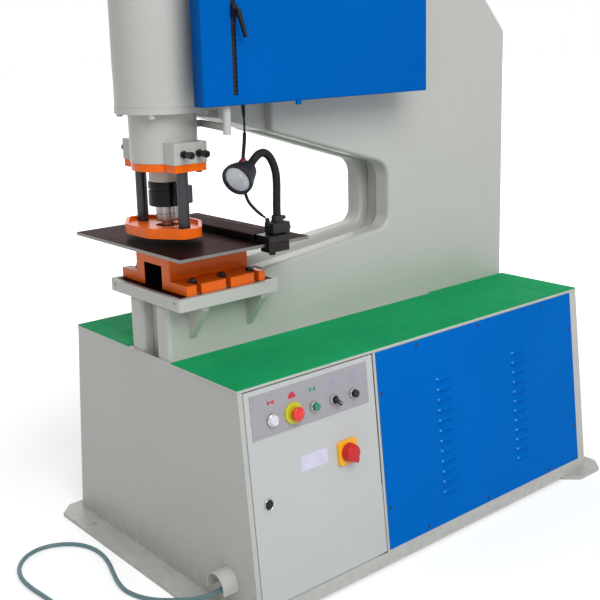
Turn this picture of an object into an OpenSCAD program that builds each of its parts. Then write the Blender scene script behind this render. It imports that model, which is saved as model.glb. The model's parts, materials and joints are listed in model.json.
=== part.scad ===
// Large-throat hydraulic punching machine on a fabricated cabinet base.
// +X runs to the rear of the machine, -Y is the operator's control side, +Z is up.
// The origin lies on the floor, under the middle of the base.

/* [Base] */
// Length of the base, without the foot plates
base_len = 1476; // [1320:1:1800]
// Width of the base at the deck
base_top_w = 848; // [780:1:1000]
// Width of the base at the foot plates
base_bottom_w = 972; // [860:1:1150]
// Height of the deck's walking surface
base_h = 662; // [550:1:780]
// Thickness of the folded side sheets
side_t = 3; // [2:0.5:5]
// Thickness of the end plates
end_t = 6; // [4:1:10]
// Thickness of the deck plates
deck_t = 8; // [6:1:12]
// Thickness of the rubber deck mats
mat_t = 3; // [2:0.5:5]
// Thickness of the foot plates
foot_t = 12; // [10:1:25]
// Length of a foot plate along the machine
foot_len = 200; // [160:1:260]
// How far a foot plate stands out past the end of the base
foot_out = 74; // [60:1:100]
// How far a foot plate stands out past the side of the base
foot_side = 40; // [30:1:60]
// Radius of an anchor hole
anchor_r = 11; // [8:0.5:13]

/* [C-frame] */
// Width of the frame over both side plates
frame_w = 204; // [180:1:240]
// Thickness of one side plate
plate_t = 67; // [45:1:75]
// Depth of the groove between the side plates
groove = 34; // [20:1:50]
// Height of the bolster plate's top
bolster_z = 857; // [800:1:900]
// Place of the throat's back wall along the machine
throat_x = 143; // [60:1:240]
// Height of the frame's top
frame_top = 1880; // [1840:1:1950]
// Height at which the rear chamfer starts
chamfer_z = 1549; // [1480:1:1650]

/* [Die side] */
// Distance of the punching axis behind the base's front end
ram_in = 88; // [80:1:96]
// Half width of the bolster plate
bolster_half = 187; // [170:1:200]
// Thickness of the bolster plate
bolster_t = 36; // [28:1:45]
// Half width of the die holder's flange
flange_half = 172; // [155:1:176]
// Height of the die holder's flange
flange_h = 30; // [25:1:45]
// Half width of the die holder's block
block_half = 88; // [80:1:100]
// Length of the die holder
holder_len = 272; // [265:1:290]
// Height of the work table's top
table_z = 992; // [960:1:1010]
// Thickness of the work table
table_t = 10; // [8:1:16]
// Length of the table along the machine
table_len = 438; // [400:1:460]
// Half width of the table
table_half = 278; // [250:1:320]
// Radius of the die
die_r = 29; // [25:1:31]

/* [Punch side] */
// Radius of the round cover over the cylinder
cover_r = 131; // [118:1:132]
// Height of the cylinder cover's top
cover_top = 1897; // [1850:1:1950]
// Height of the nose plate's underside
nose_z = 1352; // [1345:1:1372]
// Radius of the guide head
head_r = 96; // [90:1:100]
// Radius of the ram
ram_r = 47; // [42:1:56]
// Radius of the coupling nut
nut_r = 50; // [44:1:52]
// Radius of the punch
punch_r = 31; // [26:1:33]
// Punching stroke
stroke = 50; // [40:1:55]
// Height of the stripper's underside
stripper_z = 1012; // [1011:1:1022]
// Distance of each stripper post from the punching axis
post_y = 108; // [104:1:112]

/* [Side cover] */
// Length of the side cover
side_len = 844; // [760:1:900]
// Depth of the side cover
side_d = 150; // [120:1:170]
// Height of the side cover's lower edge
side_z = 1373; // [1371:1:1390]
// Height of the side cover's top
side_top = 1912; // [1870:1:1960]
// Width of the slot for the stroke setting
slot_w = 16; // [12:0.5:20]

/* [Controls] */
// Length of the control plate
panel_len = 420; // [400:1:430]
// Height of the control plate
panel_h = 120; // [110:1:130]
// Distance between neighbouring buttons
button_pitch = 73; // [71:1:76]
// Travel of a push button
button_travel = 4; // [3:0.5:5]
// Travel of the emergency stop
stop_travel = 5; // [4:0.5:6]

/* [Hidden] */
$fn = 64;
// Small overlap that joins two shapes of one piece, or clears a cut's end
eps = 0.01;
cut = 1;
// Running clearance of a pin, a stem or a rod in its hole
run_c = 0.06;
// Open clearance between pieces that pass each other
pass_c = 1;
// Small seat clearance between curved or loose pieces
seat_c = 0.3;

// Colours
grey = [0.74, 0.75, 0.72];
door_grey = [0.76, 0.77, 0.77];
plate_grey = [0.62, 0.63, 0.66];
green = [0.14, 0.56, 0.36];
blue = [0.0, 0.37, 0.71];
orange = [0.98, 0.36, 0.06];
black = [0.12, 0.12, 0.13];
steel = [0.66, 0.67, 0.69];
dark_steel = [0.23, 0.2, 0.2];
cable_blue = [0.38, 0.5, 0.52];

// ---- Base geometry ----
front_x = -base_len / 2;
rear_x = base_len / 2;
ram_x = front_x + ram_in;
top_half = base_top_w / 2;
lean = atan((base_bottom_w - base_top_w) / 2 / (base_h - foot_t));
mat_z = base_h - mat_t;
deck_under = mat_z - deck_t;
frame_half = frame_w / 2;
core_half = frame_half - plate_t;

// Half width of the base at a height
function base_half(z) = top_half + (base_h - z) * tan(lean);

// Distance down the leaning side face for a height
function down_to(z) = (base_h - z) / cos(lean);

// Frame of the leaning near face: X along the machine, Y up the face, Z outwards
module near_face(x, s, out = 0) {
  translate([x, -top_half, base_h]) rotate([90 - lean, 0, 0]) translate([0, -s, out]) children();
}

// An outline of [x, z] points as a slab from y0 to y1
module slab_y(y0, y1) {
  translate([0, y1, 0]) rotate([90, 0, 0]) linear_extrude(y1 - y0) children();
}

// An outline of [y, z] points as a slab from x0 to x1
module slab_x(x0, x1) {
  translate([x0, 0, 0]) rotate([90, 0, 90]) linear_extrude(x1 - x0) children();
}

// A rectangle with its corners cut off
module cut_rect(w, h, c) {
  polygon([
    [-w / 2 + c, -h / 2], [w / 2 - c, -h / 2], [w / 2, -h / 2 + c], [w / 2, h / 2 - c],
    [w / 2 - c, h / 2], [-w / 2 + c, h / 2], [-w / 2, h / 2 - c], [-w / 2, -h / 2 + c]
  ]);
}

// A rectangle with round corners
module round_rect(w, d, r) {
  square([w - 2 * r, d], center = true);
  square([w, d - 2 * r], center = true);
  for (i = [-1, 1], j = [-1, 1]) translate([i * (w / 2 - r), j * (d / 2 - r)]) circle(r);
}

// ---- Foot plates ----
foot_half_y = base_half(foot_t) + foot_side;
foot_mid_x = rear_x + foot_out - foot_len / 2;
anchor_x = rear_x + foot_out / 2;
anchor_y = base_half(foot_t) - 140;
foot_cut = 45;

module foot_plates() {
  color(grey) for (s = [-1, 1]) difference() {
    translate([s * foot_mid_x, 0, 0]) linear_extrude(foot_t)
      cut_rect(foot_len, 2 * foot_half_y, foot_cut);
    for (t = [-1, 1]) translate([s * anchor_x, t * anchor_y, -cut])
      cylinder(r = anchor_r, h = foot_t + 2 * cut);
  }
}

// ---- Base shell ----
cowl_y = -357;
cowl_z = 97;
cable_r = 6.5;
cable_hole_z = cowl_z - 15;

// End plate with a tab that closes the deck in front of the C-frame
module end_plate_outline() {
  polygon([
    [-base_half(foot_t), foot_t], [base_half(foot_t), foot_t],
    [base_half(deck_under), deck_under], [frame_half, deck_under], [frame_half, mat_z],
    [-frame_half, mat_z], [-frame_half, deck_under], [-base_half(deck_under), deck_under]
  ]);
}

module base_end_plates() {
  color(grey) {
    difference() {
      slab_x(front_x, front_x + end_t) end_plate_outline();
      translate([front_x - cut, cowl_y, cable_hole_z]) rotate([0, 90, 0])
        cylinder(r = cable_r + pass_c, h = end_t + 2 * cut);
    }
    slab_x(rear_x - end_t, rear_x) end_plate_outline();
  }
}

side_x0 = front_x + end_t;
side_x1 = rear_x - end_t;

// The leaning side sheet between the end plates, on the near side
module side_sheet() {
  slab_x(side_x0, side_x1) polygon([
    [-base_half(foot_t), foot_t], [-base_half(deck_under), deck_under],
    [-base_half(deck_under) + side_t, deck_under], [-base_half(foot_t) + side_t, foot_t]
  ]);
}

module base_far_side() {
  color(grey) mirror([0, 1, 0]) side_sheet();
}

// Door and vent panel on the near face, as places along X and down the face
sill = 42;
door_x0 = front_x + 18;
door_w = 462;
door_x1 = door_x0 + door_w;
door_gap = 5;
door_top_gap = 3;
door_s0 = down_to(deck_under) + door_top_gap;
door_s1 = down_to(foot_t + sill);
door_h = door_s1 - door_s0;
door_depth = 20;
door_t = 2;
vent_x0 = door_x1 + 14;
vent_x1 = rear_x - 38;
vent_s0 = down_to(deck_under) + 1;
vent_s1 = door_s1;
vent_rail = 42;
sheet_cut = 12;

// Lock on the door, and the keeper that its cam turns behind
lock_x = door_x0 + 49;
lock_s = 329;
lock_r = 11;
cam_t = 3;
cam_depth = door_depth + 3;
keeper_half = 40;
keeper_in = 1;

module base_near_frame() {
  color(grey) {
    difference() {
      side_sheet();
      near_face(door_x0 - door_gap, door_s1 + door_gap, -sheet_cut)
        cube([door_w + 2 * door_gap, door_s1 + door_gap + sheet_cut, 2 * sheet_cut]);
      near_face(vent_x0 + vent_rail, vent_s1 - vent_rail, -sheet_cut)
        cube([vent_w - 2 * vent_rail, vent_h - 2 * vent_rail, 2 * sheet_cut]);
      for (p = vent_screw_places) near_face(p[0], p[1], -sheet_cut)
        cylinder(r = screw_r, h = 2 * sheet_cut);
    }
    near_face(side_x0 + keeper_in, lock_s + keeper_half, seat_c - cam_depth) cube([
      door_x0 - door_gap - side_x0 - 2 * keeper_in, 2 * keeper_half, cam_depth - seat_c - side_t / 2
    ]);
  }
}

// ---- Deck ----
deck_over = 2;
mat_gap = 12;
mat_step_x = 334;

module deck_plates() {
  color(grey) for (s = [0, 1]) mirror([0, s, 0])
    translate([front_x - deck_over, -top_half - deck_over, deck_under])
      cube([base_len + 2 * deck_over, top_half + deck_over - frame_half, deck_t]);
}

// The mats are cut clear of the frame ahead of the step, and lie close to it behind
module deck_mats() {
  color(green) for (s = [0, 1]) mirror([0, s, 0]) translate([0, 0, mat_z]) linear_extrude(mat_t)
    polygon([
      [front_x, -top_half], [rear_x, -top_half], [rear_x, -frame_half], [mat_step_x, -frame_half],
      [mat_step_x, -frame_half - mat_gap], [front_x, -frame_half - mat_gap]
    ]);
}

// ---- Cable inlet on the front end: an arched hood, open to the front ----
cowl_r = 40;
cowl_t = 2.5;
cowl_drop = 13;
cowl_depth = 50;

module cable_cowl() {
  color(grey) translate([front_x, cowl_y, cowl_z]) rotate([0, -90, 0]) linear_extrude(cowl_depth)
    difference() {
      union() {
        circle(cowl_r);
        translate([-cowl_drop, -cowl_r]) square([cowl_drop, 2 * cowl_r]);
      }
      circle(cowl_r - cowl_t);
      translate([-cowl_drop - cut, cowl_t - cowl_r]) square([cowl_drop + cut, 2 * (cowl_r - cowl_t)]);
      translate([-2 * cowl_r, -cowl_r]) square([2 * cowl_r - cowl_drop, 2 * cowl_r]);
    }
}

// ---- Vent panel ----
vent_w = vent_x1 - vent_x0;
vent_h = vent_s1 - vent_s0;
vent_t = 2;
vent_skin = 1.2;
screw_r = 2.6;
screw_head_r = 5;
screw_head_h = 2.2;
screw_len = 10;
vent_edge = 13;
louvre_w = 58;
louvre_h = 15;
louvre_out = 9;
louvre_mid = 5.6;
louvre_count = 12;
louvre_pitch = 32;
louvre_s0 = 152;
louvre_x = [vent_x0 + 272, vent_x0 + 635];
// Screws along the panel's long edges and its ends, as shares of its length and height
vent_screw_x = [0.18, 0.48, 0.82];
vent_screw_s = [0.21, 0.79];
vent_screw_places = concat(
  [for (f = vent_screw_x, s = [vent_s0 + vent_edge, vent_s1 - vent_edge]) [vent_x0 + f * vent_w, s]],
  [for (f = vent_screw_s, x = [vent_x0 + vent_edge, vent_x1 - vent_edge]) [x, vent_s0 + f * vent_h]]
);

// One pressed louvre's hood, thinner all round by skin; it opens downwards
module louvre(skin) {
  translate([-louvre_w / 2 + skin, 0, 0]) rotate([90, 0, 90]) linear_extrude(louvre_w - 2 * skin)
    polygon([
      [-louvre_h / 2, 0], [louvre_h / 2 - skin, 0], [louvre_h / 6, louvre_mid - skin],
      [-louvre_h / 2, louvre_out - skin]
    ]);
}

// Places of the louvres on the panel
module at_louvres(out) {
  for (x = louvre_x, i = [0:louvre_count - 1]) near_face(x, louvre_s0 + i * louvre_pitch, out) children();
}

module vent_panel() {
  color(blue) difference() {
    union() {
      near_face(vent_x0, vent_s1) cube([vent_w, vent_h, vent_t]);
      at_louvres(vent_t - eps) louvre(0);
    }
    at_louvres(vent_t - eps) translate([0, -vent_skin, 0]) louvre(vent_skin);
    at_louvres(-cut) translate([vent_skin - louvre_w / 2, -louvre_h / 2, 0])
      cube([louvre_w - 2 * vent_skin, louvre_h - 2 * vent_skin, vent_t + cut + eps]);
    for (p = vent_screw_places) near_face(p[0], p[1], -cut) cylinder(r = screw_r, h = vent_t + 2 * cut);
  }
}

module vent_screws() {
  color(steel) for (p = vent_screw_places) {
    near_face(p[0], p[1], vent_t) cylinder(r = screw_head_r, h = screw_head_h);
    near_face(p[0], p[1], vent_t - screw_len) cylinder(r = screw_r, h = screw_len + eps);
  }
}

// ---- Control door ----
pin_in = 9;
pin_r = 3;
pin_len = 14;
pin_bracket_t = 9;
hinge_x = door_x1 - pin_in;
stem_r = 11;
switch_x = front_x + 355;
switch_s = 266;
switch_stem_r = 6;
panel_x0 = door_x0 + 17;
panel_s0 = 28;
panel_t = 2;
button_s = panel_s0 + 77;
button_x0 = panel_x0 + 67;
button_count = 5;
plunger_r = 9;

// Place of a control in the row, from the first, on the door's face
module at_button(i, out) {
  near_face(button_x0 + i * button_pitch, button_s, out) children();
}

module control_door() {
  color(door_grey) difference() {
    near_face(door_x0, door_s1, -door_depth) cube([door_w, door_h, door_depth]);
    near_face(door_x0 + door_t, door_s1 - door_t, -door_depth - cut)
      cube([door_w - 2 * door_t, door_h - 2 * door_t, door_depth + cut - door_t]);
    near_face(hinge_x, door_s1, -pin_in) rotate([-90, 0, 0]) translate([0, 0, -cut])
      cylinder(r = pin_r + run_c, h = door_h + 2 * cut);
    near_face(lock_x, lock_s, -door_t - cut) cylinder(r = lock_r + run_c, h = door_t + 2 * cut);
    near_face(switch_x, switch_s, -door_t - cut) cylinder(r = switch_stem_r + run_c, h = door_t + 2 * cut);
    for (i = [0:button_count - 1]) at_button(i, -door_t - cut) cylinder(r = stem_r, h = door_t + 2 * cut);
  }
}

// Upper pin under the deck, lower pin on a bracket behind the base's face
module door_hinge_pins() {
  bracket_in = pin_in + 8;
  low_s = door_s1 + door_gap + pin_bracket_t;
  color(steel) {
    near_face(hinge_x, door_s0 + pin_len, -pin_in) rotate([-90, 0, 0])
      cylinder(r = pin_r, h = pin_len + door_top_gap);
    near_face(hinge_x, low_s, -pin_in) rotate([-90, 0, 0])
      cylinder(r = pin_r, h = pin_len + door_gap + pin_bracket_t);
    near_face(hinge_x - 10, low_s, -bracket_in) cube([30, pin_bracket_t, bracket_in - side_t]);
  }
}

// Key cylinder with its cam, which hangs down when the door is free
module door_lock() {
  color(steel) near_face(lock_x, lock_s) difference() {
    union() {
      translate([0, 0, seat_c]) cylinder(r = lock_r + 3, h = 4);
      translate([0, 0, -cam_depth - cam_t]) cylinder(r = lock_r, h = cam_depth + cam_t + cut);
      translate([-9, -58, -cam_depth - cam_t]) cube([18, 58, cam_t]);
    }
    translate([-1.2, -7, 2]) cube([2.4, 14, 5]);
  }
}

module control_plate() {
  color(plate_grey) difference() {
    near_face(panel_x0, panel_s0 + panel_h) cube([panel_len, panel_h, panel_t]);
    for (i = [0:button_count - 1]) at_button(i, -cut) cylinder(r = stem_r, h = panel_t + 2 * cut);
  }
}

// Lengths of the controls, counted from the control plate's back
bezel_r = 15;
bezel_h = 10;
bezel_floor = 3;
cap_r = 11;
stem_in = 8;
plunger_in = 14;
stem_h = stem_in + panel_t;

// Round bezel with its threaded stem through the plate
module bezel(i) {
  at_button(i, -stem_in) difference() {
    union() {
      cylinder(r = stem_r, h = stem_h + eps);
      translate([0, 0, stem_h]) cylinder(r = bezel_r, h = bezel_h);
    }
    translate([0, 0, -cut]) cylinder(r = plunger_r + run_c, h = stem_h + bezel_h + 2 * cut);
    translate([0, 0, stem_h + bezel_floor]) cylinder(r = cap_r + run_c, h = bezel_h);
  }
}

module button_bezels() {
  color(steel) for (i = [0, 2, 3, 4]) bezel(i);
}

// A round button in its bezel: cap above, plunger below
module push_button(i, cap_h) {
  plunger_h = plunger_in + panel_t + bezel_floor + button_travel + seat_c;
  at_button(i, -plunger_in) union() {
    cylinder(r = plunger_r, h = plunger_h + eps);
    translate([0, 0, plunger_h]) cylinder(r = cap_r, h = cap_h);
  }
}

module white_button() { color([0.9, 0.9, 0.93]) push_button(0, 9); }
module green_button() { color([0.05, 0.5, 0.38]) push_button(2, 13); }
module black_button() { color(black) push_button(4, 13); }

collar_r = 30;
collar_h = 8;

module estop_collar() {
  color([0.85, 0.8, 0.05]) at_button(1, -stem_in) difference() {
    union() {
      cylinder(r = stem_r, h = stem_h + eps);
      translate([0, 0, stem_h]) cylinder(r = collar_r, h = collar_h);
    }
    translate([0, 0, -cut]) cylinder(r = plunger_r + run_c, h = stem_h + collar_h + 2 * cut);
  }
}

mushroom_r = 20;
mushroom_neck_r = 13;

module estop_button() {
  under = plunger_in + panel_t + collar_h + stop_travel + seat_c;
  color([0.86, 0.12, 0.12]) at_button(1, -plunger_in) {
    cylinder(r = plunger_r, h = under + cut);
    translate([0, 0, under]) cylinder(r1 = mushroom_neck_r, r2 = mushroom_r, h = 9);
    translate([0, 0, under + 9 - eps]) cylinder(r = mushroom_r, h = 8);
  }
}

selector_turn = 45;
pointer = [10, 34, 9];

module selector_knob() {
  skirt = plunger_in + panel_t + bezel_floor + seat_c;
  color(black) at_button(3, -plunger_in) {
    cylinder(r = plunger_r, h = skirt + cut);
    translate([0, 0, skirt]) cylinder(r = cap_r, h = bezel_h);
    translate([0, 0, skirt + bezel_h - eps]) rotate([0, 0, -selector_turn])
      translate([-pointer[0] / 2, -cap_r, 0]) cube(pointer);
  }
}

switch_half = 35;
switch_plate_h = 10;
switch_grip = [34, 18, 24];

module main_switch_plate() {
  color([0.98, 0.72, 0.06]) near_face(switch_x, switch_s) difference() {
    linear_extrude(switch_plate_h) round_rect(2 * switch_half, 2 * switch_half, 8);
    translate([0, 0, -cut]) cylinder(r = switch_stem_r + run_c, h = switch_plate_h + 2 * cut);
  }
}

module main_switch_knob() {
  stem_len = 40;
  skirt_r = 27;
  skirt_h = 9;
  knob_r = 25;
  knob_h = 16;
  color([0.78, 0.05, 0.06]) near_face(switch_x, switch_s, switch_plate_h + seat_c) {
    translate([0, 0, -stem_len]) cylinder(r = switch_stem_r, h = stem_len + cut);
    cylinder(r = skirt_r, h = skirt_h);
    translate([0, 0, skirt_h - eps]) cylinder(r = knob_r, h = knob_h);
    rotate([0, 0, -45]) translate([0, -switch_grip[1] / 2, 0]) cube(switch_grip);
  }
}

// ---- C-frame ----
frame_x0 = front_x + end_t;
frame_x1 = rear_x - end_t;
pad_z = bolster_z - bolster_t;
pad_x1 = front_x + 344;
nose_gap = 4;
nose_x = front_x + 233;
nose_half = 67;
jaw_x = front_x + 400;
nose_t = 18;
arm_z = nose_z + nose_t;
low_rise = 15.5;
lower_slope = 0.1;
upper_slope = 0.302;
a_low = atan(lower_slope);
a_up = atan(upper_slope);
knee_z = nose_z - 222;
throat_low_r = 46;
throat_up_r = 61;
chamfer_slope = 1.077;
chamfer_run = (frame_top - chamfer_z) / chamfer_slope;

// Heights of the throat's lower and upper free edges, d inside the metal
function lower_line(x, d) = bolster_z + low_rise + lower_slope * (x - pad_x1) - d / cos(a_low);
function upper_line(x, d) = knee_z - upper_slope * (x - throat_x) + d / cos(a_up);

// Points on an arc in the X-Z plane
function arc(x, z, r, a0, a1, n) =
  [for (i = [0:n]) let (a = a0 + (a1 - a0) * i / n) [x + r * cos(a), z + r * sin(a)]];

// Outline of the C-frame, drawn in by d along the throat and the front, and by half of d behind
module frame_outline(d) {
  low_x = throat_x - throat_low_r;
  low_z = lower_line(low_x, 0) + throat_low_r / cos(a_low);
  up_x = throat_x - throat_up_r;
  up_z = upper_line(up_x, 0) - throat_up_r / cos(a_up);
  back_x = frame_x1 - d / 2;
  top_z = frame_top - d / 2;
  polygon(concat(
    [[frame_x0 + d, foot_t], [back_x, foot_t], [back_x, chamfer_z - d / 4]],
    [[back_x - chamfer_run, top_z], [jaw_x, top_z], [jaw_x, upper_line(jaw_x, d)]],
    arc(up_x, up_z, throat_up_r + d, 90 - a_up, 0, 8),
    arc(low_x, low_z, throat_low_r + d, 0, -90 + a_low, 8),
    [[pad_x1, lower_line(pad_x1, d)], [pad_x1, pad_z], [frame_x0 + d, pad_z]]
  ));
}

module frame_plate_near() {
  color(grey) slab_y(-frame_half, -core_half) frame_outline(0);
}

module frame_plate_far() {
  color(grey) slab_y(core_half, frame_half) frame_outline(0);
}

module frame_core() {
  color(grey) slab_y(-core_half, core_half) frame_outline(groove);
}

// ---- Bolster plate with its gussets ----
bolster_x0 = front_x - 6;
gusset_t = 20;
gusset_h = 110;
gusset_in = 10;
gusset_lip = 12;
gusset_x = [front_x + 86, front_x + 290];
holder_x0 = front_x + 29;
bolt_y = flange_half - 33;
bolt_x = [for (i = [0:2]) holder_x0 + 41 + 100 * i];
bolt_r = 7;
bolt_in = 24;
lift_hole_r = 4.5;
lift_hole_in = 24;
lift_hole_y = bolster_half - 30;
lift_hole_down = 14;

module bolster_plate() {
  color(grey) difference() {
    union() {
      translate([(bolster_x0 + pad_x1) / 2, 0, pad_z]) linear_extrude(bolster_t)
        round_rect(pad_x1 - bolster_x0, 2 * bolster_half, 12);
      for (x = gusset_x, s = [0, 1]) mirror([0, s, 0])
        slab_x(x - gusset_t / 2, x + gusset_t / 2) polygon([
          [-frame_half, pad_z - gusset_h], [-frame_half, pad_z + eps],
          [gusset_in - bolster_half, pad_z + eps], [gusset_in - bolster_half, pad_z - gusset_lip]
        ]);
    }
    for (x = bolt_x, s = [-1, 1]) translate([x, s * bolt_y, bolster_z - bolt_in])
      cylinder(r = bolt_r, h = bolt_in + cut);
    for (s = [-1, 1]) translate([bolster_x0 - cut, s * lift_hole_y, bolster_z - lift_hole_down])
      rotate([0, 90, 0]) cylinder(r = lift_hole_r, h = lift_hole_in + cut);
  }
}

// ---- Die holder ----
holder_top = table_z - table_t;
die_block_h = holder_top - bolster_z;
slug_half = 45;
slug_h = 66;
slug_len = 140;
slug_hole_r = 21;
die_seat = 38;
die_hole_r = 17;
slot_half = bolt_r + 1;

module die_holder() {
  color(orange) difference() {
    union() {
      translate([holder_x0, -flange_half, bolster_z]) cube([holder_len, 2 * flange_half, flange_h]);
      translate([holder_x0, -block_half, bolster_z]) cube([holder_len, 2 * block_half, die_block_h]);
    }
    translate([holder_x0 - cut, -slug_half, bolster_z - cut])
      cube([slug_len + cut, 2 * slug_half, slug_h + cut]);
    translate([ram_x, 0, bolster_z]) cylinder(r = slug_hole_r, h = die_block_h + cut);
    translate([ram_x, 0, holder_top - die_seat]) cylinder(r = die_r + seat_c, h = die_seat + cut);
    for (x = bolt_x, s = [0, 1]) mirror([0, s, 0]) translate([x, -bolt_y, bolster_z - cut]) {
      cylinder(r = slot_half, h = flange_h + 2 * cut);
      translate([-slot_half, bolt_y - flange_half - cut, 0])
        cube([2 * slot_half, flange_half - bolt_y + cut, flange_h + 2 * cut]);
    }
  }
}

module die_insert() {
  color(steel) translate([ram_x, 0, holder_top - die_seat]) difference() {
    cylinder(r = die_r, h = die_seat + table_t);
    translate([0, 0, -cut]) cylinder(r = die_hole_r, h = die_seat + table_t + 2 * cut);
  }
}

// ---- Work table and back gauge ----
table_x0 = front_x - 58;
gauge_x0 = table_x0 + 274;
gauge_w = 72;
gauge_t = 20;
gauge_near_y = -table_half + 48;
gauge_far_y = table_half - 20;
gauge_edge = 2;

module table_plate() {
  color(dark_steel) difference() {
    translate([table_x0, -table_half, holder_top]) cube([table_len, 2 * table_half, table_t]);
    translate([ram_x, 0, holder_top - cut]) cylinder(r = die_r + seat_c, h = table_t + 2 * cut);
  }
}

// Cross bar that slides along the table
module back_gauge() {
  x1 = gauge_x0 + gauge_w;
  z1 = table_z + gauge_t;
  color(dark_steel) slab_y(gauge_near_y, gauge_far_y) polygon([
    [gauge_x0, table_z], [x1, table_z], [x1, z1 - gauge_edge],
    [x1 - gauge_edge, z1], [gauge_x0 + gauge_edge, z1], [gauge_x0, z1 - gauge_edge]
  ]);
}

// ---- Nose block, cylinder and guide head ----
nose_r = cover_r + 2;
flange_bolt_at = 86;
flange_bolt_r = 6;
flange_bolt_head = 10;
flange_bolt_head_h = 12;
flange_h_cyl = 23;
cover_z = arm_z + flange_h_cyl;
cover_t = 5;
cover_edge = 10;

// Places of the bolts that hold the cylinder's flange
module at_flange_bolts(z) {
  for (i = [-1, 1], j = [-1, 1]) translate([ram_x + i * flange_bolt_at, j * flange_bolt_at, z]) children();
}

// Block between the frame plates, with the round plate that carries the cylinder
module nose_block() {
  color(grey) {
    slab_y(-nose_half, nose_half) polygon([
      [nose_x, upper_line(nose_x, 0)], [jaw_x, upper_line(jaw_x, 0)],
      [jaw_x, frame_top], [nose_x, frame_top]
    ]);
    difference() {
      translate([ram_x, 0, nose_z]) union() {
        cylinder(r = nose_r, h = nose_t);
        translate([0, -nose_half, 0]) cube([nose_x - ram_x + eps, 2 * nose_half, nose_t]);
      }
      translate([ram_x, 0, nose_z - cut]) cylinder(r = ram_r + nose_gap, h = nose_t + 2 * cut);
      at_flange_bolts(nose_z - cut) cylinder(r = flange_bolt_r, h = nose_t + 2 * cut);
    }
  }
}

head_plate_t = 22;
head_h = 137;
ear_half_x = 54;
ear_half_y = 134;
ear_h = 59;
ear_bolt_x = [-25, 25];
ear_bolt_r = 5;
ear_bolt_in = 20;
ear_z = nose_z - head_h;
ear_bolt_z = ear_z + 28;
plate_z = ear_z - head_plate_t;
plate_in = 2;
guide_h = 45;
post_x = ram_x - 15;
post_pin_r = 8;
post_pin_in = 28;

// Stroke arm that leaves the head at the back
arm_low = ear_z + 89;
arm_h = 18;
arm_t = 20;
arm_y = -20;
slot_gap = 8;
slot_over = 3;

module guide_head() {
  color(grey) difference() {
    union() {
      translate([ram_x, 0, ear_z]) cylinder(r = head_r, h = head_h);
      translate([ram_x - ear_half_x, -ear_half_y, ear_z]) cube([2 * ear_half_x, 2 * ear_half_y, ear_h]);
    }
    translate([ram_x, 0, ear_z - cut]) cylinder(r = ram_r + run_c, h = head_h + 2 * cut);
    translate([ram_x, 0, ear_z + guide_h]) cylinder(r = head_r - 18, h = head_h - guide_h + cut);
    translate([ram_x, arm_y - arm_t - slot_gap, arm_low - stroke - slot_over])
      cube([head_r + cut, arm_t + 2 * slot_gap, stroke + arm_h + 2 * slot_over]);
    for (x = ear_bolt_x, s = [0, 1]) mirror([0, s, 0]) translate([ram_x + x, -ear_half_y - cut, ear_bolt_z])
      rotate([-90, 0, 0]) cylinder(r = ear_bolt_r, h = ear_bolt_in + cut);
    for (s = [-1, 1]) translate([post_x, s * post_y, ear_z - cut])
      cylinder(r = post_pin_r, h = post_pin_in + cut);
    at_plate_bolts(ear_z - cut) cylinder(r = plate_bolt_r, h = plate_bolt_in + cut);
  }
}

plate_bolt_r = 4;
plate_bolt_in = 20;
plate_bolt_x = 40;
plate_bolt_y = ear_half_y - 22;

// Places of the bolts that hold the head plate under the ears
module at_plate_bolts(z) {
  for (s = [-1, 1]) translate([ram_x + plate_bolt_x, s * plate_bolt_y, z]) children();
}

module head_plate() {
  half_x = ear_half_x - plate_in;
  half_y = ear_half_y - plate_in;
  color(orange) difference() {
    translate([ram_x, 0, plate_z]) union() {
      cylinder(r = head_r - plate_in, h = head_plate_t);
      translate([-half_x, -half_y, 0]) cube([2 * half_x, 2 * half_y, head_plate_t]);
    }
    translate([ram_x, 0, plate_z - cut]) cylinder(r = ram_r + pass_c, h = head_plate_t + 2 * cut);
    for (s = [-1, 1]) translate([post_x, s * post_y, plate_z - cut])
      cylinder(r = post_pin_r, h = head_plate_t + 2 * cut);
    at_plate_bolts(plate_z - cut) cylinder(r = plate_bolt_r, h = head_plate_t + 2 * cut);
  }
}

// Black fasteners
washer_r = 14;
washer_h = 2.5;
hex_r = 11;
hex_h = 8;
lock_nut_h = 12;
set_knob_r = 10;
plate_bolt_head_r = 9;
plate_bolt_head_h = 6;

module holder_bolt() {
  translate([0, 0, bolster_z - bolt_in]) cylinder(r = bolt_r, h = bolt_in + flange_h + eps);
  translate([0, 0, bolster_z + flange_h]) cylinder(r = washer_r, h = washer_h);
  translate([0, 0, bolster_z + flange_h + washer_h - eps]) cylinder(r = hex_r, h = hex_h, $fn = 6);
}

// Set screw with its lock nut, out of an ear's side
module set_screw() {
  set_out = 44;
  set_head_h = 16;
  translate([0, 0, -ear_bolt_in]) cylinder(r = ear_bolt_r, h = ear_bolt_in + eps);
  cylinder(r = hex_r, h = lock_nut_h, $fn = 6);
  cylinder(r = ear_bolt_r + 1, h = set_out - eps);
  translate([0, 0, set_out - set_head_h]) cylinder(r = set_knob_r, h = set_head_h);
}

module cap_screws() {
  color(black) {
    for (x = bolt_x, s = [-1, 1]) translate([x, s * bolt_y, 0]) holder_bolt();
    for (x = ear_bolt_x, s = [0, 1]) mirror([0, s, 0]) translate([ram_x + x, -ear_half_y, ear_bolt_z])
      rotate([90, 0, 0]) set_screw();
    at_flange_bolts(nose_z) {
      cylinder(r = flange_bolt_r, h = nose_t + flange_h_cyl);
      translate([0, 0, -flange_bolt_head_h])
        cylinder(r = flange_bolt_head, h = flange_bolt_head_h + eps, $fn = 6);
    }
    at_plate_bolts(plate_z) {
      cylinder(r = plate_bolt_r, h = head_plate_t + plate_bolt_in);
      translate([0, 0, -plate_bolt_head_h])
        cylinder(r = plate_bolt_head_r, h = plate_bolt_head_h + eps, $fn = 6);
    }
  }
}

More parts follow.
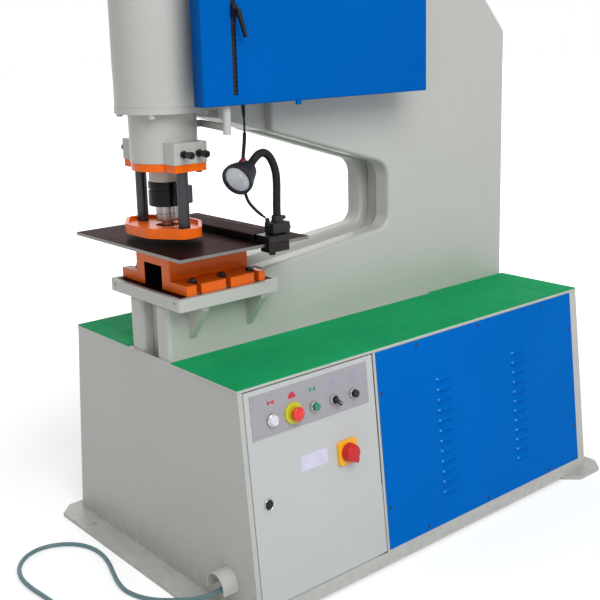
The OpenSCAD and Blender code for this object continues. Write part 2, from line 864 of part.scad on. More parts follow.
// ---- Stripper on its posts ----
stripper_t = 28;
recess_d = 10;
stripper_x = 91;
stripper_y = 150;
stripper_flat_x = 30;
stripper_flat_y = 60;
stripper_rim = 10;
rim_slant = 0.5;
post_r = 16.5;
post_foot_r = 7;
lug = [12, 17, 76, 48];
punch_hole_r = punch_r + 3;
post_z = stripper_z + stripper_t - recess_d;

// Long octagon, drawn in by d
module stripper_outline(d) {
  x = stripper_x - d;
  y = stripper_y - d;
  fx = stripper_flat_x - rim_slant * d;
  fy = stripper_flat_y - rim_slant * d;
  polygon([[-x, -fy], [-fx, -y], [fx, -y], [x, -fy], [x, fy], [fx, y], [-fx, y], [-x, fy]]);
}

module stripper() {
  color(orange) difference() {
    translate([post_x, 0, stripper_z]) linear_extrude(stripper_t) stripper_outline(0);
    translate([post_x, 0, post_z]) linear_extrude(recess_d + cut) stripper_outline(stripper_rim);
    translate([ram_x, 0, stripper_z - cut]) cylinder(r = punch_hole_r, h = stripper_t + 2 * cut);
    for (s = [-1, 1]) translate([post_x, s * post_y, stripper_z - cut])
      cylinder(r = post_foot_r, h = stripper_t + 2 * cut);
  }
}

module stripper_posts() {
  post_h = plate_z - post_z;
  foot_in = stripper_t - recess_d - 2;
  color(black) for (s = [-1, 1]) translate([post_x, s * post_y, 0]) {
    translate([0, 0, post_z - foot_in]) cylinder(r = post_foot_r, h = foot_in + cut);
    translate([0, 0, post_z]) cylinder(r = post_r, h = post_h);
    translate([0, 0, plate_z - cut]) cylinder(r = post_pin_r, h = cut + head_plate_t + post_pin_in - 2);
    // Lug for the height setting on the near post
    if (s < 0) translate([lug[0], 0, post_z + lug[2]]) cylinder(r = lug[1], h = lug[3]);
  }
}

// ---- Cylinder, ram, nut and punch ----
barrel_r = 88;
barrel_h = 300;
bore_r = 65;
gland_h = 20;
piston_h = 46;
piston_z = arm_z + 95;
nut_h = 70;
nut_bore_r = 18;
ram_stub = 35;
nut_z = plate_z - ram_stub - nut_h;
ram_z = nut_z + nut_h;

module cylinder_cover() {
  cover_h = cover_top - cover_z;
  color(grey) translate([ram_x, 0, cover_z]) difference() {
    union() {
      cylinder(r = cover_r, h = cover_h - cover_edge + eps);
      translate([0, 0, cover_h - cover_edge])
        cylinder(r1 = cover_r, r2 = cover_r - cover_edge, h = cover_edge);
    }
    translate([0, 0, -cut]) cylinder(r = cover_r - cover_t, h = cover_h - cover_edge);
  }
}

module cylinder_barrel() {
  color(grey) translate([ram_x, 0, arm_z]) difference() {
    union() {
      cylinder(r = cover_r, h = flange_h_cyl);
      cylinder(r = barrel_r, h = barrel_h);
    }
    translate([0, 0, -cut]) cylinder(r = ram_r + run_c, h = gland_h + 2 * cut);
    translate([0, 0, gland_h]) cylinder(r = bore_r, h = barrel_h - 2 * gland_h);
    translate([-ram_x, 0, 0]) at_flange_bolts(-cut) cylinder(r = flange_bolt_r, h = flange_h_cyl + 2 * cut);
  }
}

module ram() {
  color(grey) difference() {
    translate([ram_x, 0, 0]) union() {
      translate([0, 0, ram_z]) cylinder(r = ram_r, h = piston_z - ram_z + eps);
      translate([0, 0, piston_z]) cylinder(r = bore_r - run_c, h = piston_h);
    }
    translate([ram_x, 0, ram_z - cut]) cylinder(r = 12, h = 30);
  }
}

module coupling_nut() {
  groove_z = nut_h - 26;
  groove_h = 5;
  color(black) translate([ram_x, 0, nut_z]) difference() {
    cylinder(r = nut_r, h = nut_h);
    translate([0, 0, groove_z]) difference() {
      cylinder(r = nut_r + cut, h = groove_h);
      translate([0, 0, -cut]) cylinder(r = nut_r - 4, h = groove_h + 2 * cut);
    }
    translate([0, 0, -cut]) cylinder(r = nut_bore_r, h = nut_h + 2 * cut);
  }
}

tip_r = 16.5;
tip_gap = 3;
punch_body_h = 42;
punch_cone_h = 3;
punch_narrow = 4;

module punch() {
  tip_z = stripper_z + tip_gap;
  cone_z = nut_z - punch_body_h - punch_cone_h;
  color(steel) translate([ram_x, 0, 0]) {
    translate([0, 0, nut_z - punch_body_h]) cylinder(r = punch_r, h = punch_body_h);
    translate([0, 0, cone_z]) cylinder(r1 = punch_r - punch_narrow, r2 = punch_r, h = punch_cone_h + eps);
    translate([0, 0, tip_z]) cylinder(r = tip_r, h = cone_z - tip_z + cut);
    translate([0, 0, nut_z - cut]) cylinder(r = nut_bore_r, h = nut_h - 8);
  }
}

// Arm and upright rod that carry the stroke to the trip switches
elbow_x = ram_x + head_r + 14;
cover_y0 = -frame_half - side_d;
rod_x = ram_x + 60;
rod_y = cover_y0 + 28;
rod_r = 11;
rod_low = arm_low - 9;
rod_top = side_top - 120;

module stroke_arm() {
  arm_w = 8;
  color(grey) {
    translate([0, 0, arm_low]) linear_extrude(arm_h) difference() {
      polygon([
        [ram_x, arm_y], [elbow_x + arm_w, arm_y], [rod_x + arm_w, rod_y], [rod_x - arm_w, rod_y],
        [elbow_x - arm_w, arm_y - arm_t], [ram_x, arm_y - arm_t]
      ]);
      translate([ram_x, 0]) circle(ram_r);
    }
    translate([rod_x, rod_y, rod_low]) cylinder(r = rod_r, h = rod_top - rod_low);
  }
}

// ---- Side cover with the stroke setting ----
cover_x0 = front_x + 57;
side_skin = 2;
setting_x = front_x + 161;
slot_z0 = side_z + 27;
slot_z1 = side_top - 140;
block_z = side_z + 245;
block_h = 34;
block_w = 18;
block_out = 12;

wrap_y = cover_y0 + 44;
notch_x = nose_x + 5;

// The cover is notched round the cylinder, with an inner sheet along the notch
module side_cover() {
  side_h = side_top - side_z;
  wrap_x = notch_x - cover_x0;
  color(blue) difference() {
    translate([cover_x0, cover_y0, side_z]) cube([side_len, side_d, side_h]);
    difference() {
      translate([cover_x0 + side_skin, cover_y0 + side_skin, side_z + side_skin])
        cube([side_len - 2 * side_skin, side_d, side_h - 2 * side_skin]);
      translate([cover_x0, wrap_y - side_skin, side_z]) cube([wrap_x, side_skin, side_h]);
    }
    translate([cover_x0 - cut, wrap_y, side_z - cut]) cube([wrap_x + cut, side_d, side_h + 2 * cut]);
    translate([rod_x, rod_y, side_z - cut]) cylinder(r = rod_r + 3, h = side_skin + 2 * cut);
    translate([setting_x - slot_w / 2, cover_y0 - cut, slot_z0])
      cube([slot_w, side_skin + 2 * cut, slot_z1 - slot_z0]);
  }
}

// Notched rail behind the slot, on two brackets from the nose block
rail_gap = 1;
rail_t = 4;
rail_half = 16;
rail_y = cover_y0 + side_skin + rail_gap;
rail_z0 = slot_z0 - 14;
rail_z1 = block_z + 30;
rail_bar = 14;
notch_pitch = 12;
notch_h = 4;
notch_d = 2;

module trip_rail() {
  color(black) difference() {
    union() {
      translate([setting_x - rail_half, rail_y, rail_z0]) cube([2 * rail_half, rail_t, rail_z1 - rail_z0]);
      for (z = [rail_z0, rail_z1 - rail_bar]) {
        translate([setting_x, rail_y, z]) cube([notch_x + 2 * rail_bar - setting_x, rail_t, rail_bar]);
        translate([notch_x + rail_bar, rail_y, z]) cube([rail_bar, -nose_half - rail_y, rail_bar]);
      }
    }
    for (z = [rail_z0 + notch_pitch:notch_pitch:rail_z1 - notch_pitch])
      translate([setting_x - slot_w / 2, rail_y - cut, z]) cube([slot_w, notch_d + cut, notch_h]);
  }
}

// Stop block outside the slot, with its tongue through the slot
module stop_block() {
  tongue_h = block_h - 10;
  color(black) {
    translate([setting_x - block_w / 2, cover_y0 - seat_c - block_out, block_z - block_h / 2])
      cube([block_w, block_out, block_h]);
    translate([setting_x - slot_w / 2 + seat_c, cover_y0 - seat_c - cut, block_z - tongue_h / 2])
      cube([slot_w - 2 * seat_c, side_skin + rail_gap + cut, tongue_h]);
  }
}

lever_hub_r = 8;
lever_hub_h = 8;
lever_tip = [17, -65, 4];

module stop_lever() {
  color(black) translate([setting_x, cover_y0 - 2 * seat_c - block_out, block_z]) rotate([90, 0, 0]) {
    cylinder(r = lever_hub_r, h = lever_hub_h);
    translate([0, 0, lever_hub_h - eps]) hull() {
      cylinder(r = 6, h = 8, $fn = 32);
      translate(lever_tip) cylinder(r = 4, h = 8, $fn = 32);
    }
  }
}

// ---- Lamp on the table's near edge ----
lamp_x = table_x0 + 341;
lamp_y = -table_half + 20;
lamp_z = table_z + gauge_t;
clamp_w = 72;
clamp_x0 = lamp_x - 57;
clamp_lip = 14;
clamp_reach = 60;
clamp_drop = 26;
jaw_t = 12;
socket_r = 16;
socket_h = 18;
body_size = [60, 44, 32];
clamp_screw_r = 5;
clamp_screw_low = table_z - clamp_drop - 14;
side_tab = [9, 12, 26];
side_boss_r = 6;
side_boss_h = 12;
knob_stem_r = 4;
knob_y = lamp_y;
knob_z = lamp_z + 12;
knob_in = 12;

// Clamp block on the table's edge, with the lamp's foot and neck socket on it
module lamp_base() {
  edge_y = -table_half - clamp_lip;
  body_x0 = lamp_x - body_size[0] / 2;
  body_y0 = lamp_y - body_size[1] / 2;
  color(black) difference() {
    union() {
      translate([clamp_x0, edge_y, table_z]) cube([clamp_w, clamp_reach, gauge_t]);
      translate([clamp_x0, edge_y, table_z - clamp_drop]) {
        cube([clamp_w, clamp_lip - seat_c, clamp_drop + eps]);
        cube([clamp_w, clamp_reach - 20, jaw_t]);
      }
      translate([clamp_x0 + clamp_w / 2, lamp_y, clamp_screw_low])
        cylinder(r = clamp_screw_r, h = table_z - table_t - clamp_screw_low);
      translate([body_x0, body_y0, lamp_z - eps]) cube(body_size);
      translate([lamp_x, lamp_y, lamp_z + body_size[2] - eps]) cylinder(r = socket_r, h = socket_h);
      translate([body_x0 + cut - side_tab[0], lamp_y - 4, lamp_z + body_size[2] - 12]) cube(side_tab);
      translate([lamp_x + socket_r - 3, lamp_y, lamp_z + body_size[2] + socket_h / 2]) rotate([0, 90, 0])
        cylinder(r = side_boss_r, h = side_boss_h);
    }
    translate([lamp_x, lamp_y, lamp_z + body_size[2] + 2]) cylinder(r = neck_r, h = socket_h);
    translate([body_x0 + body_size[0] - knob_in - 1, knob_y, knob_z]) rotate([0, 90, 0])
      cylinder(r = knob_stem_r + run_c, h = knob_in + 1 + cut);
  }
}

// Knob that locks the lamp's foot
module lamp_knob() {
  wing = [22, 6, 8];
  color(black) translate([lamp_x + body_size[0] / 2, knob_y, knob_z]) rotate([0, 90, 0]) {
    translate([0, 0, -knob_in]) cylinder(r = knob_stem_r, h = knob_in + 2);
    translate([0, 0, 1]) cylinder(r = 9, h = 12);
    translate([-wing[0] / 2, -wing[1] / 2, 4]) cube(wing);
  }
}

// A tube swept along points, each ring square to the mean of its two stretches
function unit(v) = v / norm(v);
function tangent(p, i) = unit(p[min(i + 1, len(p) - 1)] - p[max(i - 1, 0)]);
function ring(p, t, r, n, up) = let (a = unit(cross(t, up)), b = cross(a, t))
  [for (k = [0:n - 1]) p + r * (cos(360 * k / n) * a + sin(360 * k / n) * b)];

module tube(p, r, n, up) {
  m = len(p);
  pts = [for (i = [0:m - 1]) each ring(p[i], tangent(p, i), r, n, up)];
  skin = [for (i = [0:m - 2], k = [0:n - 1])
    let (a = i * n + k, b = i * n + (k + 1) % n, c = b + n, d = a + n) each [[a, b, c], [a, c, d]]];
  first = [for (k = [1:n - 2]) [0, k + 1, k]];
  last = [for (k = [1:n - 2]) let (o = (m - 1) * n) [o, o + k, o + k + 1]];
  polyhedron(points = pts, faces = concat(skin, first, last));
}

// Points of a smooth curve through hand-placed points
function spline_at(a, b, c, d, t) = 0.5 * (2 * b + (c - a) * t + (2 * a - 5 * b + 4 * c - d) * t * t
  + (3 * b - a - 3 * c + d) * t * t * t);
function smooth(p, n) = concat(
  [for (i = [0:len(p) - 2], j = [0:n - 1])
    spline_at(p[max(i - 1, 0)], p[i], p[i + 1], p[min(i + 2, len(p) - 1)], j / n)],
  [p[len(p) - 1]]);

// The neck's course from its socket, as [along X, along Y, up] from the lamp's foot
neck_r = 11.5;
neck_course = [
  [0, 0, 34], [0, 0, 48], [0, 0, 78], [1, 0, 108], [2, 0, 138], [0, 0, 168], [-8, 0, 194],
  [-22, -1, 216], [-40, -2, 228], [-60, -3, 226], [-74, -3, 216], [-83, 1, 204], [-88, 5, 193]
];

module lamp_neck() {
  places = [for (p = neck_course) p + [lamp_x, lamp_y, lamp_z]];
  color(black) tube(smooth(places, 2), neck_r, 12, [0, 1, 0.01]);
}

// Lamp head: Z points out of the lens
lens_dir = [-0.86, -0.36, -0.36];
head_at = [-86, 5, 194];
head_len = 76;
neck_end_r = 18;
shoulder_r = 28;
shoulder_h = 14;
rim_r = 44;
rim_h = 12;
bowl_h = head_len - rim_h - shoulder_h;
lens_r = 36;
lens_in = 8;
rocker = [11, 14, 18];
rocker_at = [-37, 18];
rocker_gap = 1.4;

module at_head() {
  turn = acos(lens_dir[2] / norm(lens_dir));
  translate(head_at + [lamp_x, lamp_y, lamp_z])
    rotate([0, turn, atan2(lens_dir[1], lens_dir[0])]) children();
}

module lamp_head() {
  color(black) at_head() difference() {
    union() {
      cylinder(r1 = neck_end_r, r2 = shoulder_r, h = shoulder_h);
      translate([0, 0, shoulder_h - eps]) cylinder(r1 = shoulder_r, r2 = rim_r, h = bowl_h);
      translate([0, 0, head_len - rim_h - 2 * eps]) cylinder(r = rim_r, h = rim_h);
    }
    translate([0, 0, rim_h])
      cylinder(r1 = shoulder_r - lens_in, r2 = lens_r + 1, h = head_len - rim_h - lens_in);
    translate([0, 0, head_len - lens_in - eps]) cylinder(r = lens_r + 1, h = lens_in + cut);
    translate([-rim_r, -rocker[1] / 2 - run_c, rocker_at[1] - rocker_gap]) cube([
      rim_r + rocker_at[0] + rocker[0] + rocker_gap, rocker[1] + 2 * run_c, rocker[2] + 2 * rocker_gap
    ]);
  }
}

module lamp_lens() {
  color([0.9, 0.92, 0.95, 0.5]) at_head() translate([0, 0, head_len - lens_in])
    cylinder(r = lens_r + 1 - seat_c, h = lens_in / 2);
}

// Rocker switch on top of the head, on the hinge line across it
module lamp_switch() {
  color([0.5, 0.05, 0.1]) at_head() translate([rocker_at[0], -rocker[1] / 2, rocker_at[1]]) cube(rocker);
}

lamp_cable_r = 5;
lamp_cable_points = [
  [-490, -165, 1372.7], [-489, -166, 1340], [-489, -167, 1305], [-492, -169, 1270],
  [-498, -171, 1238], [-504, -174, 1205], [-508, -180, 1172], [-514, -190, 1145],
  [-520, -203, 1122], [-521, -218, 1102], [-514, -234, 1084], [-503, -246, 1069], [-493, -254, 1059]
];

module lamp_cable() {
  color(black) tube(smooth(lamp_cable_points, 3), lamp_cable_r, 8, [0, 1, 0.02]);
}

// ---- Hydraulic unit inside the base ----
tank_x0 = -300;
tank_size = [820, 290, 420];
tank_wall = 5;
motor_x = 330;
motor_y = -270;
motor_z = 250;
motor_r = 95;
motor_len = 260;
pump_r = 60;
pump_len = 110;
pump_x = motor_x - 190;
shaft_r = 14;
shaft_in = 100;
pump_bore = 50;
shelf_under = 12;

module oil_tank() {
  inner = tank_size - 2 * tank_wall * [1, 1, 1];
  filler_r = 30;
  filler_in = 80;
  color([0.35, 0.4, 0.45]) translate([tank_x0, frame_half, foot_t]) difference() {
    cube(tank_size);
    translate(tank_wall * [1, 1, 1]) cube(inner);
    translate([filler_in, filler_in, tank_size[2] - tank_wall - cut])
      cylinder(r = filler_r, h = tank_wall + 2 * cut);
  }
}

module motor() {
  fin = [9, 4, 240];
  fin_turn = 20;
  bench = [200, 160, 20];
  bench_y0 = motor_y - bench[1] / 2;
  color([0.35, 0.4, 0.45]) {
    translate([motor_x, motor_y, motor_z]) rotate([0, 90, 0]) difference() {
      union() {
        cylinder(r = motor_r, h = motor_len);
        for (a = [0:fin_turn:360 - fin_turn]) rotate([0, 0, a])
          translate([motor_r - 2, -fin[1] / 2, 10]) cube(fin);
      }
      translate([0, 0, -cut]) cylinder(r = shaft_r + run_c, h = shaft_in + 2 * cut);
    }
    translate([motor_x + 30, bench_y0, motor_z - motor_r - shelf_under])
      cube([bench[0], -frame_half - bench_y0, bench[2]]);
  }
}

module gear_pump() {
  stand = [90, 100, 20];
  stand_y0 = motor_y - stand[1] / 2;
  color([0.35, 0.4, 0.45]) {
    translate([pump_x, motor_y, motor_z]) rotate([0, 90, 0]) difference() {
      cylinder(r = pump_r, h = pump_len);
      translate([0, 0, pump_len - pump_bore]) cylinder(r = shaft_r + run_c, h = pump_bore + cut);
    }
    translate([pump_x + 10, stand_y0, motor_z - pump_r - shelf_under])
      cube([stand[0], -frame_half - stand_y0, stand[2]]);
  }
}

// Shaft from the motor to the pump, with its coupling
module pump_coupling() {
  shaft_x0 = pump_x + pump_len - pump_bore + 2;
  hub_x0 = pump_x + pump_len + 10;
  hub_r = 34;
  hub_len = 60;
  color(steel) {
    translate([shaft_x0, motor_y, motor_z]) rotate([0, 90, 0])
      cylinder(r = shaft_r, h = motor_x + shaft_in - shaft_x0);
    translate([hub_x0, motor_y, motor_z]) rotate([0, 90, 0]) cylinder(r = hub_r, h = hub_len);
  }
}

// Mounting plate behind the door. Its rows of units keep their share of its height
elec_x = front_x + 70;
elec_y = -frame_half - 16;
elec_z0 = 122;
elec_size = [380, 4, deck_under - 49 - elec_z0];
stand_r = 6;
stand_in = [20, 30];
stand_len = -frame_half - elec_y - elec_size[1];
contactor = [55, 78, 90];
contactor_pitch = 80;
terminals = [300, 60, 60];
drive = [120, 90, 110];
transformer = [110, 110, 110];
unit_in = 30;

// A unit of a size on the plate, at a place along it and a share of its height
module unit_at(x, share, size) {
  translate([elec_x + unit_in + x, elec_y - size[1], elec_z0 + share * elec_size[2]])
    cube([size[0], size[1] + cut, size[2]]);
}

module electrical_plate() {
  color([0.85, 0.85, 0.82]) {
    translate([elec_x, elec_y, elec_z0]) cube(elec_size);
    for (x = [stand_in[0], elec_size[0] - stand_in[0]], z = [stand_in[1], elec_size[2] - stand_in[1]])
      translate([elec_x + x, -frame_half, elec_z0 + z]) rotate([90, 0, 0])
        cylinder(r = stand_r, h = stand_len + cut);
    for (i = [0:3]) unit_at(i * contactor_pitch, 0.688, contactor);
    unit_at(0, 0.396, terminals);
    unit_at(0, 0.083, drive);
    unit_at(160, 0.083, transformer);
  }
}

// ---- Power cable ----
// Out of the hole under the hood, down to the floor, round in a loose loop and back to the coil
cable_points = [
  [-738, -357, 82], [-752, -356.5, 81.2], [-766, -353.5, 78.5], [-779, -347, 73.5], [-790.5, -336.5, 66],
  [-800.5, -320.5, 57], [-809, -300, 46.5], [-818, -274, 36], [-829, -246, 26.5], [-843, -216, 18],
  [-860, -184, 11], [-879, -148, 7.5], [-894, -109, 7], [-901, -66, 7], [-894, -14, 7],
  [-878, 40, 7], [-860, 98, 7], [-850, 156, 7], [-853, 210, 7], [-871, 258, 7],
  [-904, 295, 7], [-949, 318, 7], [-996, 319, 7], [-1040, 297, 7], [-1076, 252, 7],
  [-1094, 194, 7], [-1096, 130, 7], [-1089, 62, 7], [-1083, -10, 7], [-1080, -80, 7],
  [-1082, -150, 7], [-1086, -205, 7], [-1087, -245, 7]
];

module power_cable() {
  color(cable_blue) tube(smooth(cable_points, 2), cable_r, 10, [0.02, 0.01, 1]);
}

// Coil of the rest, as one ring round its two layers of turns
coil_at = [-1000, -270];
coil_in = 49;
coil_out = 93;
coil_h = 27;

module power_cable_coil() {
  color(cable_blue) translate([coil_at[0], coil_at[1], 0]) rotate_extrude()
    translate([coil_in, 0]) square([coil_out - coil_in, coil_h]);
}

foot_plates();
base_end_plates();
base_far_side();
base_near_frame();
deck_plates();
deck_mats();
cable_cowl();
vent_panel();
vent_screws();
control_door();
door_hinge_pins();
door_lock();
control_plate();
button_bezels();
white_button();
estop_collar();
estop_button();
green_button();
selector_knob();
black_button();
main_switch_plate();
main_switch_knob();
frame_plate_near();
frame_plate_far();
frame_core();
bolster_plate();
die_holder();
die_insert();
cap_screws();
table_plate();
back_gauge();
nose_block();
guide_head();
head_plate();
stripper_posts();
stripper();
cylinder_cover();
cylinder_barrel();
ram();
coupling_nut();
punch();
stroke_arm();
side_cover();
trip_rail();
stop_block();
stop_lever();
lamp_base();
lamp_knob();
lamp_neck();
lamp_head();
lamp_lens();
lamp_switch();
lamp_cable();
oil_tank();
motor();
gear_pump();
pump_coupling();
electrical_plate();
power_cable();
power_cable_coil();
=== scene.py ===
# %% [markdown]
# # A large-throat hydraulic punching machine
# A heavy C-frame stands on a cabinet base. One cylinder at the end of its upper jaw drives
# a punch into a die on its lower jaw. The solid model arrives finished in size, so this
# script gives it its surfaces: rounded edges, louvres, screws, cables, paint, steel and light.
# It works in metres, and mm() brings small profiles and courses from millimetres. +X runs
# to the rear, -Y is the operator's side, and +Z is up.

# %% Load the solid model
import json
import math

import bmesh
import bpy
from mathutils import Matrix, Vector

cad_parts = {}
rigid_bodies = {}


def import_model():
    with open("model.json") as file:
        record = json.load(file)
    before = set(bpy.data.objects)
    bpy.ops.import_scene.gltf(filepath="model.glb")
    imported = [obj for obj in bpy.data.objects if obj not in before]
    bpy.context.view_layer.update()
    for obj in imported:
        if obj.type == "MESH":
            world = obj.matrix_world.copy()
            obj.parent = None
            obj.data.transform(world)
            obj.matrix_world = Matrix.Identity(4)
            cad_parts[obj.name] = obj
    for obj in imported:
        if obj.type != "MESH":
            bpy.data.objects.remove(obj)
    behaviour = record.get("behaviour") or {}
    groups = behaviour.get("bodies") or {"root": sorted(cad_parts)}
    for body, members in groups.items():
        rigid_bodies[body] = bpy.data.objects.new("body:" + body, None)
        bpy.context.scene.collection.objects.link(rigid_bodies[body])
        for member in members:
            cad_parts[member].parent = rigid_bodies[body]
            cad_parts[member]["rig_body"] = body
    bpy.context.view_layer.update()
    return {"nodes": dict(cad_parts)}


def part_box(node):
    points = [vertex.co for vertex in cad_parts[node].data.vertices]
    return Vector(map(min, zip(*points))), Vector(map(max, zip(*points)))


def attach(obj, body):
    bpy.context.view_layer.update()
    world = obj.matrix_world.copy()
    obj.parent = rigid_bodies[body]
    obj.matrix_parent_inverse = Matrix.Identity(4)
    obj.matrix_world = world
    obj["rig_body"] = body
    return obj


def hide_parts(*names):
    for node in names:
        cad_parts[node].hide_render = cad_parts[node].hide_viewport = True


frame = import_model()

# %% [markdown]
# ## The viewpoint
# A camera could be aimed by eye, but a machine looks right only if its long edges run as
# they do for someone standing there. So the viewpoint is given as a builder would note it:
# where the visitor stands, which way they face, how far they look down, and the lens.

# %% Camera
stand_at = Vector((-2.1701, -2.3985, 1.5553))
facing = math.radians(-40.007)
look_down = math.radians(11.668)
head_tilt = math.radians(-1.480)

back = Vector((
    math.sin(facing) * math.cos(look_down),
    -math.cos(facing) * math.cos(look_down),
    math.sin(look_down),
))
right = Vector((0, 0, 1)).cross(back).normalized()
up = back.cross(right)
tilted_right = right * math.cos(head_tilt) + up * math.sin(head_tilt)
tilted_up = up * math.cos(head_tilt) - right * math.sin(head_tilt)


def add_object(name, data):
    """Puts a mesh, a curve, a lamp or a camera into the scene as an object."""
    added = bpy.data.objects.new(name, data)
    bpy.context.scene.collection.objects.link(added)
    return added


camera_data = bpy.data.cameras.new("visitor")
camera_data.lens = 59.9
camera_data.sensor_width = 36
camera_data.shift_y = -0.1
camera = add_object("visitor", camera_data)
turned = Matrix((tilted_right, tilted_up, back)).transposed().to_4x4()
camera.matrix_world = Matrix.Translation(stand_at) @ turned
bpy.context.scene.camera = camera
print("the visitor looks down", round(math.degrees(look_down), 1), "degrees")

# %% [markdown]
# ## Shapes from mesh operators
# Most pieces need one of three starts: a block, a turned profile, or a copy of a solid part whose
# edges are then rounded. Each start is a short helper that ends in a bmesh, and one more helper
# hangs the finished mesh on its body, with its finish.

# %% Hang a finished mesh on a body
SMOOTH_UNDER = math.radians(38)


def hang(name, bm, finish, body="machine", stands_for=(), smooth=SMOOTH_UNDER):
    """Makes a piece from a bmesh: smooth but for its hard edges, finished, on its body."""
    mesh = bpy.data.meshes.new(name)
    bm.to_mesh(mesh)
    bm.free()
    piece = add_object(name, mesh)
    for one in finish if isinstance(finish, list) else [finish]:
        mesh.materials.append(one)
    mesh.shade_smooth()
    mesh.set_sharp_from_angle(angle=smooth)
    evened = piece.modifiers.new("flat_faces_stay_flat", "WEIGHTED_NORMAL")
    evened.keep_sharp = True
    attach(piece, body)
    if stands_for:
        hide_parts(*stands_for)
    return piece


# %% Start from a solid part, and round its edges
FLAT = math.radians(0.6)
EDGE = math.radians(24)


def copy_of(node):
    """A bmesh copy of a solid part, with loose triangles joined into whole faces."""
    bm = bmesh.new()
    bm.from_mesh(frame["nodes"][node].data)
    bmesh.ops.remove_doubles(bm, verts=bm.verts, dist=2e-6)
    bmesh.ops.dissolve_limit(bm, angle_limit=FLAT, verts=bm.verts, edges=bm.edges)
    return bm


def hard_edges(bm, where=lambda edge: True):
    """Edges that a fitter would feel as corners, where a test on the edge holds."""
    return [e for e in bm.edges if e.is_manifold and e.calc_face_angle() > EDGE and where(e)]


def edges_of(verts):
    """Every edge that ends at one of these vertices."""
    return list({e for v in verts for e in v.link_edges})


def faces_of(verts):
    """Every face with a corner at one of these vertices."""
    return list({f for v in verts for f in v.link_faces})


def rise(edge):
    """How much higher one end of an edge is than the other."""
    return abs(edge.verts[0].co.z - edge.verts[1].co.z)


def bevel(bm, edges, width, segments, clamp=True):
    """Rounds edges. The first material of the neighbouring face is kept."""
    return bmesh.ops.bevel(
        bm, geom=edges, offset=width, offset_type="OFFSET", affect="EDGES",
        segments=segments, profile=0.5, material=-1, clamp_overlap=clamp,
    )


def body_of(node):
    """The name of the body that a solid part rides on."""
    return frame["nodes"][node]["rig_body"]


def rounded(node, finish, width, segments, where=lambda edge: True, clamp=True):
    """A solid part again, with its corners rounded, in place of the plain one."""
    bm = copy_of(node)
    edges = hard_edges(bm, where)
    bevel(bm, edges, width, segments, clamp)
    hang(node + "_rounded", bm, finish, body_of(node), [node])
    print(node, "-", len(edges), "edges rounded by", round(width * 1000, 1), "mm")


# %% Start from a block or a turned profile
def mm(*points):
    """Points or profile pairs, written in millimetres, brought to metres."""
    return [tuple(c / 1000 for c in point) for point in points]


def block(bm, low, high, place=Matrix.Identity(4)):
    """Adds a box between two corners, and gives back its vertices."""
    low, high = Vector(low), Vector(high)
    made = bmesh.ops.create_cube(bm, size=1)["verts"]
    size = high - low
    bmesh.ops.scale(bm, vec=size, verts=made)
    bmesh.ops.translate(bm, vec=(low + high) / 2, verts=made)
    bmesh.ops.transform(bm, matrix=place, verts=made)
    return made


def turn(bm, profile, place, steps):
    """Adds a turned shape: its profile is (radius, height) pairs, spun about Z."""
    corners = [bm.verts.new((radius, 0, height)) for radius, height in profile]
    edges = [bm.edges.new(pair) for pair in zip(corners, corners[1:])]
    bmesh.ops.spin(
        bm, geom=corners + edges, cent=(0, 0, 0), axis=(0, 0, 1),
        angle=math.tau, steps=steps, use_merge=True,
    )
    grown = set(corners)
    front = list(corners)
    while front:
        for edge in front.pop().link_edges:
            for other in edge.verts:
                if other not in grown:
                    grown.add(other)
                    front.append(other)
    verts = list(grown)
    bmesh.ops.remove_doubles(bm, verts=verts, dist=1e-6)
    verts = [v for v in verts if v.is_valid]
    bmesh.ops.recalc_face_normals(bm, faces=faces_of(verts))
    bmesh.ops.transform(bm, matrix=place, verts=verts)
    return verts


def prism(bm, outline, height, place=Matrix.Identity(4)):
    """Adds an upright slab over a flat outline of (x, y) points."""
    base = bm.faces.new([bm.verts.new((x, y, 0)) for x, y in outline])
    grown = bmesh.ops.extrude_face_region(bm, geom=[base])["geom"]
    tops = [g for g in grown if isinstance(g, bmesh.types.BMVert)]
    bmesh.ops.translate(bm, vec=(0, 0, height), verts=tops)
    verts = list({*base.verts, *tops})
    bmesh.ops.recalc_face_normals(bm, faces=faces_of(verts))
    bmesh.ops.transform(bm, matrix=place, verts=verts)
    return verts


def ngon(sides, radius, phase):
    """Corners of a regular polygon, the first one at an angle."""
    angles = [phase + math.tau * i / sides for i in range(sides)]
    return [(radius * math.cos(angle), radius * math.sin(angle)) for angle in angles]


# %% Whole pieces and rounded shapes from these starts
def turned_piece(name, profile, place, steps, finish, body="machine", stands_for=()):
    """A piece that is one turned shape."""
    bm = bmesh.new()
    turn(bm, profile, place, steps)
    hang(name, bm, finish, body, stands_for)


def turned_to(point, angle, axis):
    """A place at a point, turned about one axis."""
    return Matrix.Translation(point) @ Matrix.Rotation(angle, 4, axis)


def round_and_place(bm, verts, edges, width, segments, place):
    """Rounds edges of a shape made at the origin, then moves the shape to its place."""
    made = bevel(bm, edges, width, segments)
    verts = list({*made["verts"], *(v for v in verts if v.is_valid)})
    bmesh.ops.transform(bm, matrix=place, verts=verts)
    return verts


def soft_block(bm, low, high, place, width, segments=2):
    """A box with all its edges rounded."""
    verts = block(bm, low, high)
    return round_and_place(bm, verts, edges_of(verts), width, segments, place)


def paint_faces(verts, slot):
    """Gives the faces of some vertices another finish of their piece."""
    for face in faces_of(v for v in verts if v.is_valid):
        face.material_index = slot


print("helpers ready")

# %% [markdown]
# ## Finishes
# Paint on a new machine isn't flat: the coat has a fine orange-peel skin, it varies a
# little in gloss, and handling dulls it. Each finish starts from one shader, whose plain
# numbers sit on the shader itself, and adds noise in the object's own coordinates for
# what varies over the surface. A bevel node softens the light on edges that stay sharp.

